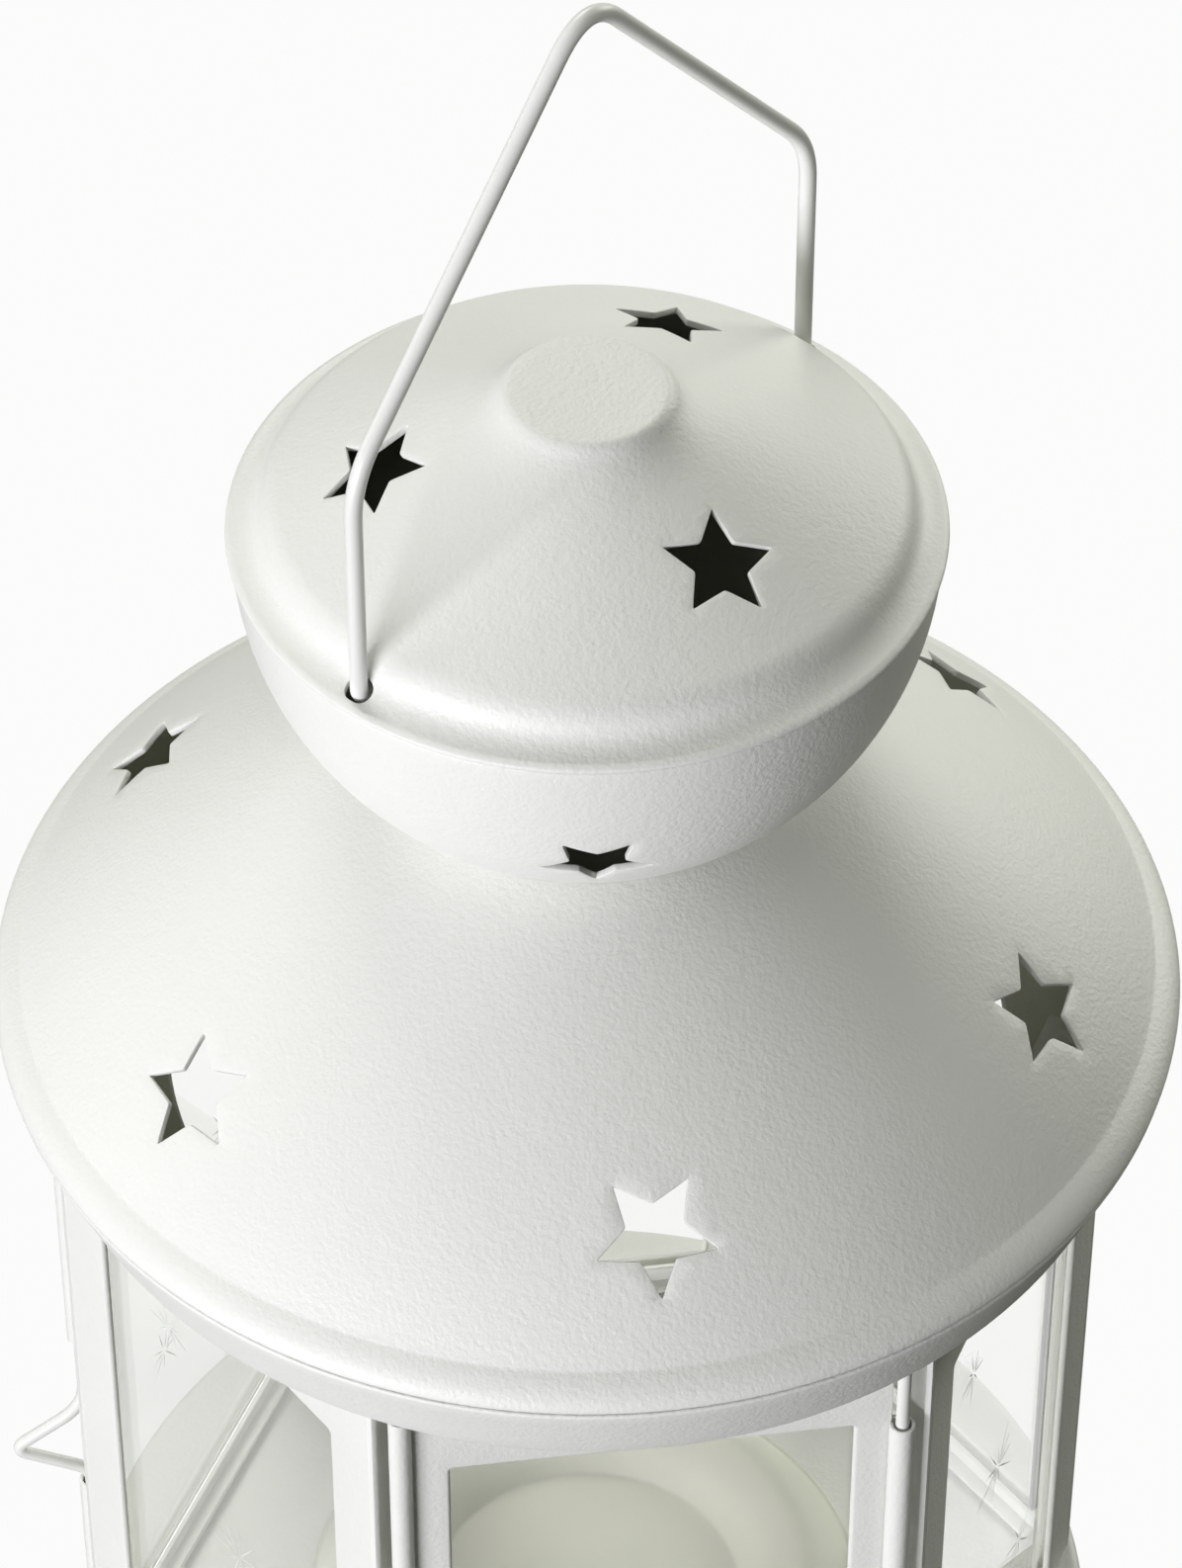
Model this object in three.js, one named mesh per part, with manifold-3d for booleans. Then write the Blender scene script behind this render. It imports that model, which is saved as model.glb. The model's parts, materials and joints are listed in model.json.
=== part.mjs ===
// Tealight lantern of painted sheet steel: a six-sided glazed body with three hinged doors and three
// fixed windows on a round base, under a conical roof, a vented cap and a swinging bail handle.
// Millimetres, +Z up, origin on the ground under the middle, front door facing -Y.

import * as THREE from "three";
import { mergeVertices, toCreasedNormals } from "three/addons/utils/BufferGeometryUtils.js";
import Module from "manifold-3d";

const wasm = await Module();
wasm.setup();

// Sheet, glass, wire and the play between pieces
const SHEET = 0.8;
const GLASS = 1.6;
const FIT = 0.3;
const PIN_RADIUS = 0.6;
const LATCH_RADIUS = 0.8;
const HANDLE_RADIUS = 1;

// Base: an upturned shallow pan that stands on a flange turned in below its skirt
const BASE_HEIGHT = 5;
const BASE_MARGIN = 3.1;
const BASE_EDGE = 1.5;
const FOOT_WIDTH = 7.5;

// Dish that holds the tealight
const WELL_RADIUS = 20;
const WELL_SLOPE = 8;
const DISH_SLOPE = 7;
const DISH_CREST = 5.2;

// Six-sided body
const SIDES = 6;
const FACE_APOTHEM = 55.75;
const BODY_HEIGHT = 106.6;
const STILE = 8.75;
const TOP_RAIL = 11.2;
const SILL = 3.5;
const LIP_DEPTH = 1;
const RETURN_DEPTH = 5.75;
const JAMB = 5.5;
const CORNER_GAP = 0.3;
const PANE_LAP = 2;
const CLIP_WIDTH = 8;
const CLIP_OFFSET = 12;
const CLIP_REACH = 1.6;
const TAB_WIDTH = 8;
const TAB_OFFSET = 18;
const TAB_REACH = 4.2;

// Doors: a rolled bead on the hinge pin at the left, rolled barrels round the latch wire at the right
const DOOR_GAP = 0.8;
const ROLL_WALL = 0.42;
const BEAD_INSET = 3;
const BARREL_INSET = 3.3;
const LATCH_NOTCH = 10.6;
const UPPER_BARREL = 38.7;
const BARREL_SLOT = [14.6, 19.5];
const FINGER_GAP = 27.3;
const LATCH_FOOT = 7;
const PULL_REACH = 10.5;
const PULL_HEIGHT = 12.4;
const PULL_DROP = 7.2;
const PULL_BENDS = [4, 2.4, 2];
const CATCH_DEPTH = 0.5;

// Collar and roof
const COLLAR_MARGIN = 0.9;
const COLLAR_RISE = 11.4;
const COLLAR_FLARE = 4.65;
const COLLAR_FLANGE = 15.3;
const RIM_OVERHANG = 0.15;
const RIM_TURN = 1.9;
const RIM_ROLL = new THREE.Vector2(3.15, 3.65);
const ROOF_RISE = 36.9;
const ROOF_SEAT = 3.4;
const ROOF_SWELL = new THREE.Vector2(0.648, 0.545);

// Cap: a bowl on a neck through the roof, and a lid with a flat knob
const NECK_RADIUS = 17.3;
const NECK_LIP = 2.6;
const BOWL_RADIUS = 39.6;
const LID_OVERHANG = 0.7;
const LID_EDGE = new THREE.Vector2(0.8, 0.6);
const LID_FLARE = new THREE.Vector2(3.2, 1.1);
const LID_STEP = new THREE.Vector2(4, 3);
const LID_SHOULDER = new THREE.Vector2(6.3, 5.42);
const LID_TURN = 1.6;
const LID_SLOPE = 0.48;
const LID_RISE = 19.2;
const KNOB_RADIUS = 9.1;
const KNOB_FLARE = 6.2;
const KNOB_EDGE = 0.7;

// Star-shaped vents
const ROOF_STAR = 7.2;
const CAP_STAR = 6.6;
const STAR_WAIST = 0.48;
const STAR_POINTS = 5;
const ROOF_STAR_RADIUS = 56.3;
const ROOF_STARS = 6;
const LID_STAR_RADIUS = 23.5;
const BOWL_STAR_DIP = THREE.MathUtils.degToRad(27);
const CAP_STARS = 3;
const LID_STAR_TURN = THREE.MathUtils.degToRad(30);
const LID_STAR_SPIN = THREE.MathUtils.degToRad(9);
const BOWL_STAR_TURN = THREE.MathUtils.degToRad(-6);

// Bail handle
const HANDLE_INSET = 2.7;
const HANDLE_TURN = THREE.MathUtils.degToRad(41.5);
const HANDLE_LEG = 29.5;
const HANDLE_PEAK = 41.6;
const HANDLE_HOOK = 6;
const HOOK_DROP = 1.2;
const HANDLE_SLOT = 2.2;
const LEG_BEND = 5;
const PEAK_BEND = 7;
const HOOK_BEND = 1.6;

// Facets of the round pieces
const WIDE_FACETS = 44;
const CAP_FACETS = 32;
const DISH_FACETS = 24;
const ROLL_FACETS = 10;
const WIRE_FACETS = 6;
const CURVE_STEPS = 4;
const HANDLE_STEPS = 64;
const LATCH_STEPS = 36;
const SLOT_STEPS = 6;
const CREASE_ANGLE = Math.PI / 5;
const WELD_DISTANCE = 1e-4;

// Levels and radii that follow from the sizes above
const faceAngle = (2 * Math.PI) / SIDES;
const halfSide = FACE_APOTHEM * Math.tan(faceAngle / 2);
const cornerRadius = FACE_APOTHEM / Math.cos(faceAngle / 2);
const floorZ = BASE_HEIGHT;
const flangeZ = floorZ + BODY_HEIGHT;
const collarRadius = cornerRadius + COLLAR_MARGIN;
const collarTopZ = flangeZ + COLLAR_RISE;
const rimRadius = collarRadius + COLLAR_FLARE + RIM_OVERHANG;
const rimZ = collarTopZ + SHEET / 2 + FIT;
const roofTopZ = rimZ + ROOF_RISE;
const bowlFloorZ = roofTopZ + FIT;
const windowHalf = halfSide - STILE;
const windowLowZ = floorZ + SILL;
const windowHighZ = flangeZ - TOP_RAIL;
const paneHalf = windowHalf + PANE_LAP;
const paneDepth = LIP_DEPTH + FIT;
const paneBackDepth = paneDepth + GLASS;
const beadX = -(halfSide - BEAD_INSET);
const beadRadius = PIN_RADIUS + FIT + ROLL_WALL;
const barrelX = halfSide - BARREL_INSET;
const barrelRadius = LATCH_RADIUS + FIT + ROLL_WALL;
const beadDepth = SHEET - beadRadius;
const barrelDepth = SHEET - barrelRadius;

const coat = { color: 0xe8e8e2, roughness: 0.55, metalness: 0 };
const wirePaint = { color: 0xe3e3dc, roughness: 0.38, metalness: 0 };
const clear = { color: 0xeef3f0, roughness: 0.04, metalness: 0, transparent: true, opacity: 0.25 };

// A closed geometry as a solid that can be cut and joined
function solid(geometry) {
  const bare = geometry.clone();
  bare.deleteAttribute("normal");
  bare.deleteAttribute("uv");
  const welded = mergeVertices(bare, WELD_DISTANCE);
  const corners = welded.index.array;
  const faces = [];
  for (let i = 0; i < corners.length; i += 3) {
    const [a, b, c] = corners.subarray(i, i + 3);
    if (a !== b && b !== c && c !== a) faces.push(a, b, c);
  }
  const vertProperties = welded.attributes.position.array;
  return new wasm.Manifold(new wasm.Mesh({ numProp: 3, vertProperties, triVerts: new Uint32Array(faces) }));
}

const join = (pieces) => pieces.reduce((whole, piece) => whole.add(piece));
const cut = (body, cutters) => cutters.reduce((left, cutter) => left.subtract(cutter), body);

// A named mesh of a solid, with creased normals so that the sheet's edges stay crisp
function piece(name, body, finish) {
  const made = body.getMesh();
  const geometry = new THREE.BufferGeometry();
  geometry.setAttribute("position", new THREE.BufferAttribute(made.vertProperties, 3));
  geometry.setIndex(new THREE.BufferAttribute(made.triVerts, 1));
  const creased = toCreasedNormals(geometry, CREASE_ANGLE);
  const mesh = new THREE.Mesh(creased, new THREE.MeshStandardMaterial(finish));
  mesh.name = name;
  return mesh;
}

// The path moved one sheet to its left, mitred at its corners
function offsetPath(path, distance) {
  const normals = path.slice(1).map((point, i) => {
    const along = point.clone().sub(path[i]).normalize();
    return new THREE.Vector2(-along.y, along.x);
  });
  return path.map((point, i) => {
    const before = normals[Math.max(i - 1, 0)];
    const after = normals[Math.min(i, normals.length - 1)];
    const mitre = before.clone().add(after).normalize();
    return point.clone().addScaledVector(mitre, distance / mitre.dot(before));
  });
}

// Sheet of revolution: the path is its outer face, and the sheet lies to the left of the path
function spun(path, facets) {
  const outline = [...offsetPath(path, SHEET).reverse(), ...path];
  if (path.at(-1).x > 0) outline.push(outline[0].clone());
  return solid(new THREE.LatheGeometry(outline, facets).rotateX(Math.PI / 2));
}

// Where a path that runs inwards crosses a radius, and the way down the sheet there
function spotOn(path, radius) {
  const i = path.findIndex((point) => point.x <= radius);
  const [outer, inner] = [path[i - 1], path[i]];
  const share = (outer.x - radius) / (outer.x - inner.x);
  return { at: outer.clone().lerp(inner, share), down: outer.clone().sub(inner).normalize() };
}

// Cutters for a ring of stars, each with one point down the slope and then spun in the sheet's plane
function starCutters(spot, radius, count, turn, spin = 0) {
  const tips = Array.from({ length: 2 * STAR_POINTS }, (_, i) => {
    const reach = i % 2 ? radius * STAR_WAIST : radius;
    const angle = spin + (i * Math.PI) / STAR_POINTS;
    return new THREE.Vector2(reach * Math.cos(angle), reach * Math.sin(angle));
  });
  const depth = radius;
  const star = new THREE.ExtrudeGeometry(new THREE.Shape(tips), { depth, bevelEnabled: false });
  star.translate(0, 0, -depth / 2);
  return Array.from({ length: count }, (_, i) => {
    const angle = turn - Math.PI / 2 + (i * 2 * Math.PI) / count;
    const outward = new THREE.Vector3(Math.cos(angle), Math.sin(angle), 0);
    const around = new THREE.Vector3(-outward.y, outward.x, 0);
    const down = outward.clone().multiplyScalar(spot.down.x).setZ(spot.down.y);
    const basis = new THREE.Matrix4().makeBasis(down, around, down.clone().cross(around));
    basis.setPosition(outward.multiplyScalar(spot.at.x).setZ(spot.at.y));
    return solid(star.clone().applyMatrix4(basis));
  });
}

// A round wire along a bent line: bends holds the length each corner takes from its two arms
function bentWire(points, bends, radius, steps) {
  const path = new THREE.CurvePath();
  let from = points[0];
  points.slice(1, -1).forEach((corner, i) => {
    const arrive = corner.clone().sub(points[i]).setLength(bends[i]);
    const leave = points[i + 2].clone().sub(corner).setLength(bends[i]);
    const start = corner.clone().sub(arrive);
    const end = corner.clone().add(leave);
    path.add(new THREE.LineCurve3(from, start));
    path.add(new THREE.QuadraticBezierCurve3(start, corner, end));
    from = end;
  });
  path.add(new THREE.LineCurve3(from, points.at(-1)));
  const section = new THREE.Shape(
    Array.from({ length: WIRE_FACETS }, (_, i) => {
      const angle = (i * 2 * Math.PI) / WIRE_FACETS;
      return new THREE.Vector2(radius * Math.cos(angle), radius * Math.sin(angle));
    }),
  );
  return solid(new THREE.ExtrudeGeometry(section, { steps, extrudePath: path, bevelEnabled: false }));
}

// Pieces of one face, in its own frame: x along the face, depth inwards from its outer surface, z up
function faceBlock(x, depth, z) {
  const block = new THREE.BoxGeometry(x[1] - x[0], depth[1] - depth[0], z[1] - z[0]);
  return block.translate((x[0] + x[1]) / 2, (depth[0] + depth[1]) / 2 - FACE_APOTHEM, (z[0] + z[1]) / 2);
}

function faceRod(x, depth, radius, z, facets = ROLL_FACETS) {
  const rod = new THREE.CylinderGeometry(radius, radius, z[1] - z[0], facets).rotateX(Math.PI / 2);
  return rod.translate(x, depth - FACE_APOTHEM, (z[0] + z[1]) / 2);
}

function rectangle(x, z) {
  return [
    new THREE.Vector2(x[0], z[0]),
    new THREE.Vector2(x[1], z[0]),
    new THREE.Vector2(x[1], z[1]),
    new THREE.Vector2(x[0], z[1]),
  ];
}

// A plate round the window opening, from the face's outer surface inwards
function windowPlate(x, z, depth) {
  const shape = new THREE.Shape(rectangle(x, z));
  shape.holes.push(new THREE.Path(rectangle([-windowHalf, windowHalf], [windowLowZ, windowHighZ])));
  const plate = new THREE.ExtrudeGeometry(shape, { depth, bevelEnabled: false }).rotateX(Math.PI / 2);
  return solid(plate.translate(0, depth - FACE_APOTHEM, 0));
}

// What every frame has: the pressed face, its turned-in window lip, two returns, and what holds the pane
// from behind, which is two clips that hang from the upper return and an upstand on the lower one
function frameSheet(x, z) {
  const lipX = [-windowHalf - SHEET, windowHalf + SHEET];
  const lipZ = [windowLowZ - SHEET, windowHighZ + SHEET];
  const returnHalf = halfSide - RETURN_DEPTH * Math.tan(faceAngle / 2) - BEAD_INSET / 2;
  const returnX = [-returnHalf, returnHalf];
  const pieces = [
    windowPlate(x, z, SHEET),
    windowPlate(lipX, lipZ, LIP_DEPTH),
    solid(faceBlock(returnX, [0, RETURN_DEPTH], [z[0], z[0] + SHEET])),
    solid(faceBlock(returnX, [0, RETURN_DEPTH], [z[1] - SHEET, z[1]])),
  ];
  const holdDepth = [paneBackDepth + FIT, paneBackDepth + FIT + SHEET];
  pieces.push(solid(faceBlock(returnX, holdDepth, [z[0], windowLowZ])));
  for (const middle of [-CLIP_OFFSET, CLIP_OFFSET]) {
    const clipX = [middle - CLIP_WIDTH / 2, middle + CLIP_WIDTH / 2];
    pieces.push(solid(faceBlock(clipX, holdDepth, [windowHighZ + PANE_LAP - CLIP_REACH, z[1]])));
  }
  return join(pieces);
}

const fixedZ = [floorZ + FIT, flangeZ - FIT];
const doorZ = [floorZ + DOOR_GAP, flangeZ - DOOR_GAP];

// The jambs turned in along the body's corners, beside the doors
function jamb(side) {
  const inward = new THREE.Vector2(-side * Math.sin(faceAngle / 2), Math.cos(faceAngle / 2));
  const corner = new THREE.Vector2(side * (halfSide - CORNER_GAP), -FACE_APOTHEM);
  const end = corner.clone().addScaledVector(inward, JAMB);
  const across = new THREE.Vector2((-side * SHEET) / Math.cos(faceAngle / 2), 0);
  const outline = [corner, end, end.clone().add(across), corner.clone().add(across)];
  const depth = fixedZ[1] - fixedZ[0];
  const strip = new THREE.ExtrudeGeometry(new THREE.Shape(outline), { depth, bevelEnabled: false });
  return solid(strip.translate(0, 0, fixedZ[0]));
}

// Tabs bent over above the collar's flange and below the base's floor
function tabs() {
  return [-TAB_OFFSET, TAB_OFFSET].flatMap((middle) => {
    const x = [middle - TAB_WIDTH / 2, middle + TAB_WIDTH / 2];
    const above = flangeZ + SHEET + FIT;
    const below = floorZ - SHEET - FIT;
    return [
      faceBlock(x, [0, SHEET], [fixedZ[1] - SHEET, above + SHEET]),
      faceBlock(x, [0, SHEET + TAB_REACH], [above, above + SHEET]),
      faceBlock(x, [0, SHEET], [below - SHEET, fixedZ[0] + SHEET]),
      faceBlock(x, [0, SHEET + TAB_REACH], [below - SHEET, below]),
    ].map(solid);
  });
}

function windowFrame() {
  const edge = halfSide - CORNER_GAP;
  return join([frameSheet([-edge, edge], fixedZ), jamb(-1), jamb(1), ...tabs()]);
}

// Spans of the barrels rolled round the latch wire, and of the slot in the upper one's back
const upperBarrelZ = [flangeZ - LATCH_NOTCH - UPPER_BARREL, flangeZ - LATCH_NOTCH];
const lowerBarrelZ = [floorZ + LATCH_FOOT, upperBarrelZ[0] - FINGER_GAP];
const slotZ = [upperBarrelZ[1] - BARREL_SLOT[1], upperBarrelZ[1] - BARREL_SLOT[0]];

function doorFrame() {
  const edge = barrelX - LATCH_RADIUS - FIT;
  const body = [
    frameSheet([beadX, edge], doorZ),
    solid(faceRod(beadX, beadDepth, beadRadius, doorZ)),
  ];
  for (const z of [upperBarrelZ, lowerBarrelZ]) {
    body.push(solid(faceBlock([edge - SHEET, barrelX], [0, SHEET], z)));
    body.push(solid(faceRod(barrelX, barrelDepth, barrelRadius, z)));
  }
  const slotX = [barrelX, barrelX + barrelRadius + FIT];
  return cut(join(body), [
    solid(faceRod(beadX, beadDepth, PIN_RADIUS + FIT, [floorZ, flangeZ])),
    solid(faceRod(barrelX, barrelDepth, LATCH_RADIUS + FIT, [floorZ, flangeZ])),
    solid(faceBlock(slotX, [barrelDepth, SHEET + FIT], slotZ)),
  ]);
}

function pane(frameZ) {
  const z = [frameZ[0] + SHEET + FIT, windowHighZ + PANE_LAP];
  return solid(faceBlock([-paneHalf, paneHalf], [paneDepth, paneBackDepth], z));
}

// Hinge pin, through the base's floor and the collar's flange
const pinZ = [floorZ - SHEET - FIT, flangeZ + SHEET + FIT];

function hingePin() {
  return solid(faceRod(beadX, beadDepth, PIN_RADIUS, pinZ, WIRE_FACETS));
}

// Latch wire: straight in its barrels, with a pull bent out of the body's corner between them
function latchWire() {
  const out = new THREE.Vector2(Math.sin(faceAngle / 2), -Math.cos(faceAngle / 2));
  const point = (reach, z) =>
    new THREE.Vector3(barrelX + out.x * reach, barrelDepth - FACE_APOTHEM + out.y * reach, z);
  const pullLowZ = lowerBarrelZ[1] + PULL_BENDS.at(-1);
  const pullHighZ = pullLowZ + PULL_HEIGHT;
  const points = [
    point(0, flangeZ - FIT),
    point(0, pullHighZ),
    point(PULL_REACH, pullHighZ - PULL_DROP),
    point(0, pullLowZ),
    point(0, floorZ + FIT),
  ];
  return bentWire(points, PULL_BENDS, LATCH_RADIUS, LATCH_STEPS);
}

// Cutters through the flange and the floor for each frame's tabs, each hinge pin and each latch end
function bodyCutters(z, catchZ) {
  const around = (geometry, k) => solid(geometry.rotateZ(k * faceAngle));
  const cutters = [];
  for (let k = 0; k < SIDES; k += 1) {
    if (k % 2) {
      for (const middle of [-TAB_OFFSET, TAB_OFFSET]) {
        const x = [middle - TAB_WIDTH / 2 - FIT, middle + TAB_WIDTH / 2 + FIT];
        cutters.push(around(faceBlock(x, [-FIT, SHEET + FIT], z), k));
      }
    } else {
      cutters.push(around(faceRod(beadX, beadDepth, PIN_RADIUS + FIT, z), k));
      cutters.push(around(faceRod(barrelX, barrelDepth, LATCH_RADIUS + FIT, catchZ), k));
    }
  }
  return cutters;
}

function baseTray() {
  const radius = cornerRadius + BASE_MARGIN;
  const path = new THREE.Path()
    .moveTo(radius - FOOT_WIDTH, 0)
    .lineTo(radius, 0)
    .lineTo(radius, floorZ - BASE_EDGE)
    .quadraticCurveTo(radius, floorZ, radius - BASE_EDGE, floorZ)
    .lineTo(0, floorZ)
    .getPoints(CURVE_STEPS / 2);
  const z = [floorZ - 2 * SHEET, floorZ + SHEET];
  return cut(spun(path, WIDE_FACETS), bodyCutters(z, [floorZ - CATCH_DEPTH, floorZ + SHEET]));
}

function candleDish() {
  const wellZ = floorZ + FIT + SHEET;
  const crestZ = wellZ + DISH_CREST;
  const crestRadius = WELL_RADIUS + WELL_SLOPE;
  const edgeRadius = crestRadius + DISH_SLOPE;
  const path = new THREE.Path()
    .moveTo(edgeRadius + SHEET, wellZ)
    .lineTo(edgeRadius, wellZ)
    .quadraticCurveTo(crestRadius + DISH_SLOPE / 2, crestZ, crestRadius, crestZ)
    .quadraticCurveTo(WELL_RADIUS + WELL_SLOPE / 2, crestZ, WELL_RADIUS, wellZ)
    .lineTo(0, wellZ)
    .getPoints(CURVE_STEPS);
  return spun(path, DISH_FACETS);
}

function roofCollar() {
  const path = [
    new THREE.Vector2(collarRadius - COLLAR_FLANGE, flangeZ),
    new THREE.Vector2(collarRadius, flangeZ),
    new THREE.Vector2(collarRadius + COLLAR_FLARE, collarTopZ),
  ];
  const z = [flangeZ - SHEET, flangeZ + 2 * SHEET];
  return cut(spun(path, WIDE_FACETS), bodyCutters(z, [flangeZ - SHEET, flangeZ + CATCH_DEPTH]));
}

// The roof's rim is rolled over, and the cone rises from a soft crease behind the roll
const coneFoot = new THREE.Vector2(rimRadius - RIM_ROLL.x, rimZ + RIM_ROLL.y);
const coneTop = new THREE.Vector2(NECK_RADIUS + FIT + ROOF_SEAT, roofTopZ);
const coneSwell = new THREE.Vector2(
  THREE.MathUtils.lerp(coneTop.x, coneFoot.x, ROOF_SWELL.x),
  THREE.MathUtils.lerp(coneFoot.y, coneTop.y, ROOF_SWELL.y),
);
const roofPath = new THREE.Path()
  .moveTo(rimRadius, rimZ)
  .quadraticCurveTo(rimRadius, rimZ + RIM_TURN, coneFoot.x, coneFoot.y)
  .quadraticCurveTo(coneSwell.x, coneSwell.y, coneTop.x, coneTop.y)
  .lineTo(NECK_RADIUS + FIT, roofTopZ)
  .getPoints(CURVE_STEPS);

function roof() {
  const stars = starCutters(spotOn(roofPath, ROOF_STAR_RADIUS), ROOF_STAR, ROOF_STARS, 0);
  return cut(spun(roofPath, WIDE_FACETS), stars);
}

// The bowl is round from its flat floor up to its edge, which is level with its middle
const bowlFloorDip = Math.acos((NECK_RADIUS + 2 * NECK_LIP + SHEET) / BOWL_RADIUS);
const bowlEdgeZ = bowlFloorZ + BOWL_RADIUS * Math.sin(bowlFloorDip);

function capBowl() {
  const path = new THREE.Path()
    .moveTo(NECK_RADIUS + NECK_LIP, roofTopZ - SHEET - FIT)
    .lineTo(NECK_RADIUS, roofTopZ - SHEET - FIT)
    .lineTo(NECK_RADIUS, bowlFloorZ)
    .absarc(0, bowlEdgeZ, BOWL_RADIUS, -bowlFloorDip, 0)
    .getPoints(CURVE_STEPS);
  const star = {
    at: new THREE.Vector2(Math.cos(BOWL_STAR_DIP), -Math.sin(BOWL_STAR_DIP)).multiplyScalar(BOWL_RADIUS),
    down: new THREE.Vector2(-Math.sin(BOWL_STAR_DIP), -Math.cos(BOWL_STAR_DIP)),
  };
  star.at.y += bowlEdgeZ;
  return cut(spun(path, CAP_FACETS), starCutters(star, CAP_STAR, CAP_STARS, BOWL_STAR_TURN));
}

const lidRadius = BOWL_RADIUS + LID_OVERHANG;
const lidZ = bowlEdgeZ + SHEET;
const onLid = (inset) => new THREE.Vector2(lidRadius - inset.x, lidZ + inset.y);
const [lidEdge, lidFlare, lidStep, lidFoot] = [LID_EDGE, LID_FLARE, LID_STEP, LID_SHOULDER].map(onLid);
const onCone = (radius) => new THREE.Vector2(radius, lidFoot.y + LID_SLOPE * (lidFoot.x - radius));
const lidTurn = onCone(lidFoot.x + LID_TURN);
const knobFoot = onCone(KNOB_RADIUS + KNOB_FLARE);
const knobTurn = onCone(KNOB_RADIUS + KNOB_FLARE / 3);
const knobZ = lidZ + LID_RISE;
const lidPath = new THREE.Path()
  .moveTo(lidRadius, lidZ)
  .lineTo(lidEdge.x, lidEdge.y)
  .quadraticCurveTo(lidFlare.x, lidFlare.y, lidStep.x, lidStep.y)
  .quadraticCurveTo(lidTurn.x, lidTurn.y, lidFoot.x, lidFoot.y)
  .lineTo(knobFoot.x, knobFoot.y)
  .quadraticCurveTo(knobTurn.x, knobTurn.y, KNOB_RADIUS + KNOB_EDGE, knobZ - KNOB_EDGE)
  .lineTo(KNOB_RADIUS, knobZ)
  .lineTo(0, knobZ)
  .getPoints(CURVE_STEPS);

// The handle's pivot lies in the lid's sheet, on the line through the two slots
const handleHalf = lidRadius - HANDLE_INSET;
const pivotZ = spotOn(lidPath, handleHalf).at.y - SHEET / 2;

function capLid() {
  const slotHalf = HANDLE_RADIUS + FIT;
  const slots = [-1, 1].map((side) => {
    const shape = new THREE.Shape()
      .absarc(0, HANDLE_SLOT - slotHalf, slotHalf, 0, Math.PI)
      .absarc(0, slotHalf - HANDLE_SLOT, slotHalf, Math.PI, 2 * Math.PI);
    const depth = 4 * LID_SHOULDER.y;
    const options = { depth, bevelEnabled: false, curveSegments: SLOT_STEPS };
    const slot = new THREE.ExtrudeGeometry(shape, options);
    slot.translate(side * handleHalf, 0, pivotZ - depth / 2);
    return solid(slot.rotateZ(HANDLE_TURN));
  });
  const spot = spotOn(lidPath, LID_STAR_RADIUS);
  const stars = starCutters(spot, CAP_STAR, CAP_STARS, LID_STAR_TURN, LID_STAR_SPIN);
  return cut(spun(lidPath, CAP_FACETS), [...slots, ...stars]);
}

// Bail handle, in the upright plane of its pivot: hooks under the lid, straight legs and a gabled top
function bailHandle() {
  const hookZ = pivotZ - HOOK_DROP;
  const bendZ = pivotZ + HANDLE_LEG;
  const side = (sign) => [
    new THREE.Vector3(sign * (handleHalf - HANDLE_HOOK), 0, hookZ),
    new THREE.Vector3(sign * handleHalf, 0, hookZ),
    new THREE.Vector3(sign * handleHalf, 0, bendZ),
  ];
  const points = [...side(-1), new THREE.Vector3(0, 0, bendZ + HANDLE_PEAK), ...side(1).reverse()];
  return bentWire(points, [HOOK_BEND, LEG_BEND, PEAK_BEND, LEG_BEND, HOOK_BEND], HANDLE_RADIUS, HANDLE_STEPS);
}

const lantern = new THREE.Group();
lantern.name = "tealight_lantern";
lantern.add(
  piece("base_tray", baseTray(), coat),
  piece("candle_dish", candleDish(), coat),
  piece("roof_collar", roofCollar(), coat),
  piece("roof", roof(), coat),
  piece("cap_bowl", capBowl(), coat),
  piece("cap_lid", capLid(), coat),
);

const handle = new THREE.Group();
handle.rotation.z = HANDLE_TURN;
handle.add(piece("bail_handle", bailHandle(), wirePaint));
lantern.add(handle);

const faceNames = ["front_door", "right_window", "right_door", "rear_window", "left_door", "left_window"];
faceNames.forEach((name, k) => {
  const face = new THREE.Group();
  face.rotation.z = k * faceAngle;
  if (name.endsWith("door")) {
    face.add(
      piece(`${name}_frame`, doorFrame(), coat),
      piece(`${name}_glass`, pane(doorZ), clear),
      piece(`${name}_hinge_pin`, hingePin(), wirePaint),
      piece(`${name}_latch_wire`, latchWire(), wirePaint),
    );
  } else {
    face.add(piece(`${name}_frame`, windowFrame(), coat), piece(`${name}_glass`, pane(fixedZ), clear));
  }
  lantern.add(face);
});

export default lantern;
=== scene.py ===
"""Tealight lantern of painted sheet steel and glass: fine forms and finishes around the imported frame."""

import json
import logging
import math
from dataclasses import dataclass, field
from enum import Enum
from itertools import product
from typing import Iterable, Sequence

import bmesh
import bpy
from bpy.types import Material, Mesh, Node, NodeSocket, NodeTree
from mathutils import Matrix, Vector
from mathutils.geometry import delaunay_2d_cdt, intersect_point_line


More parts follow.
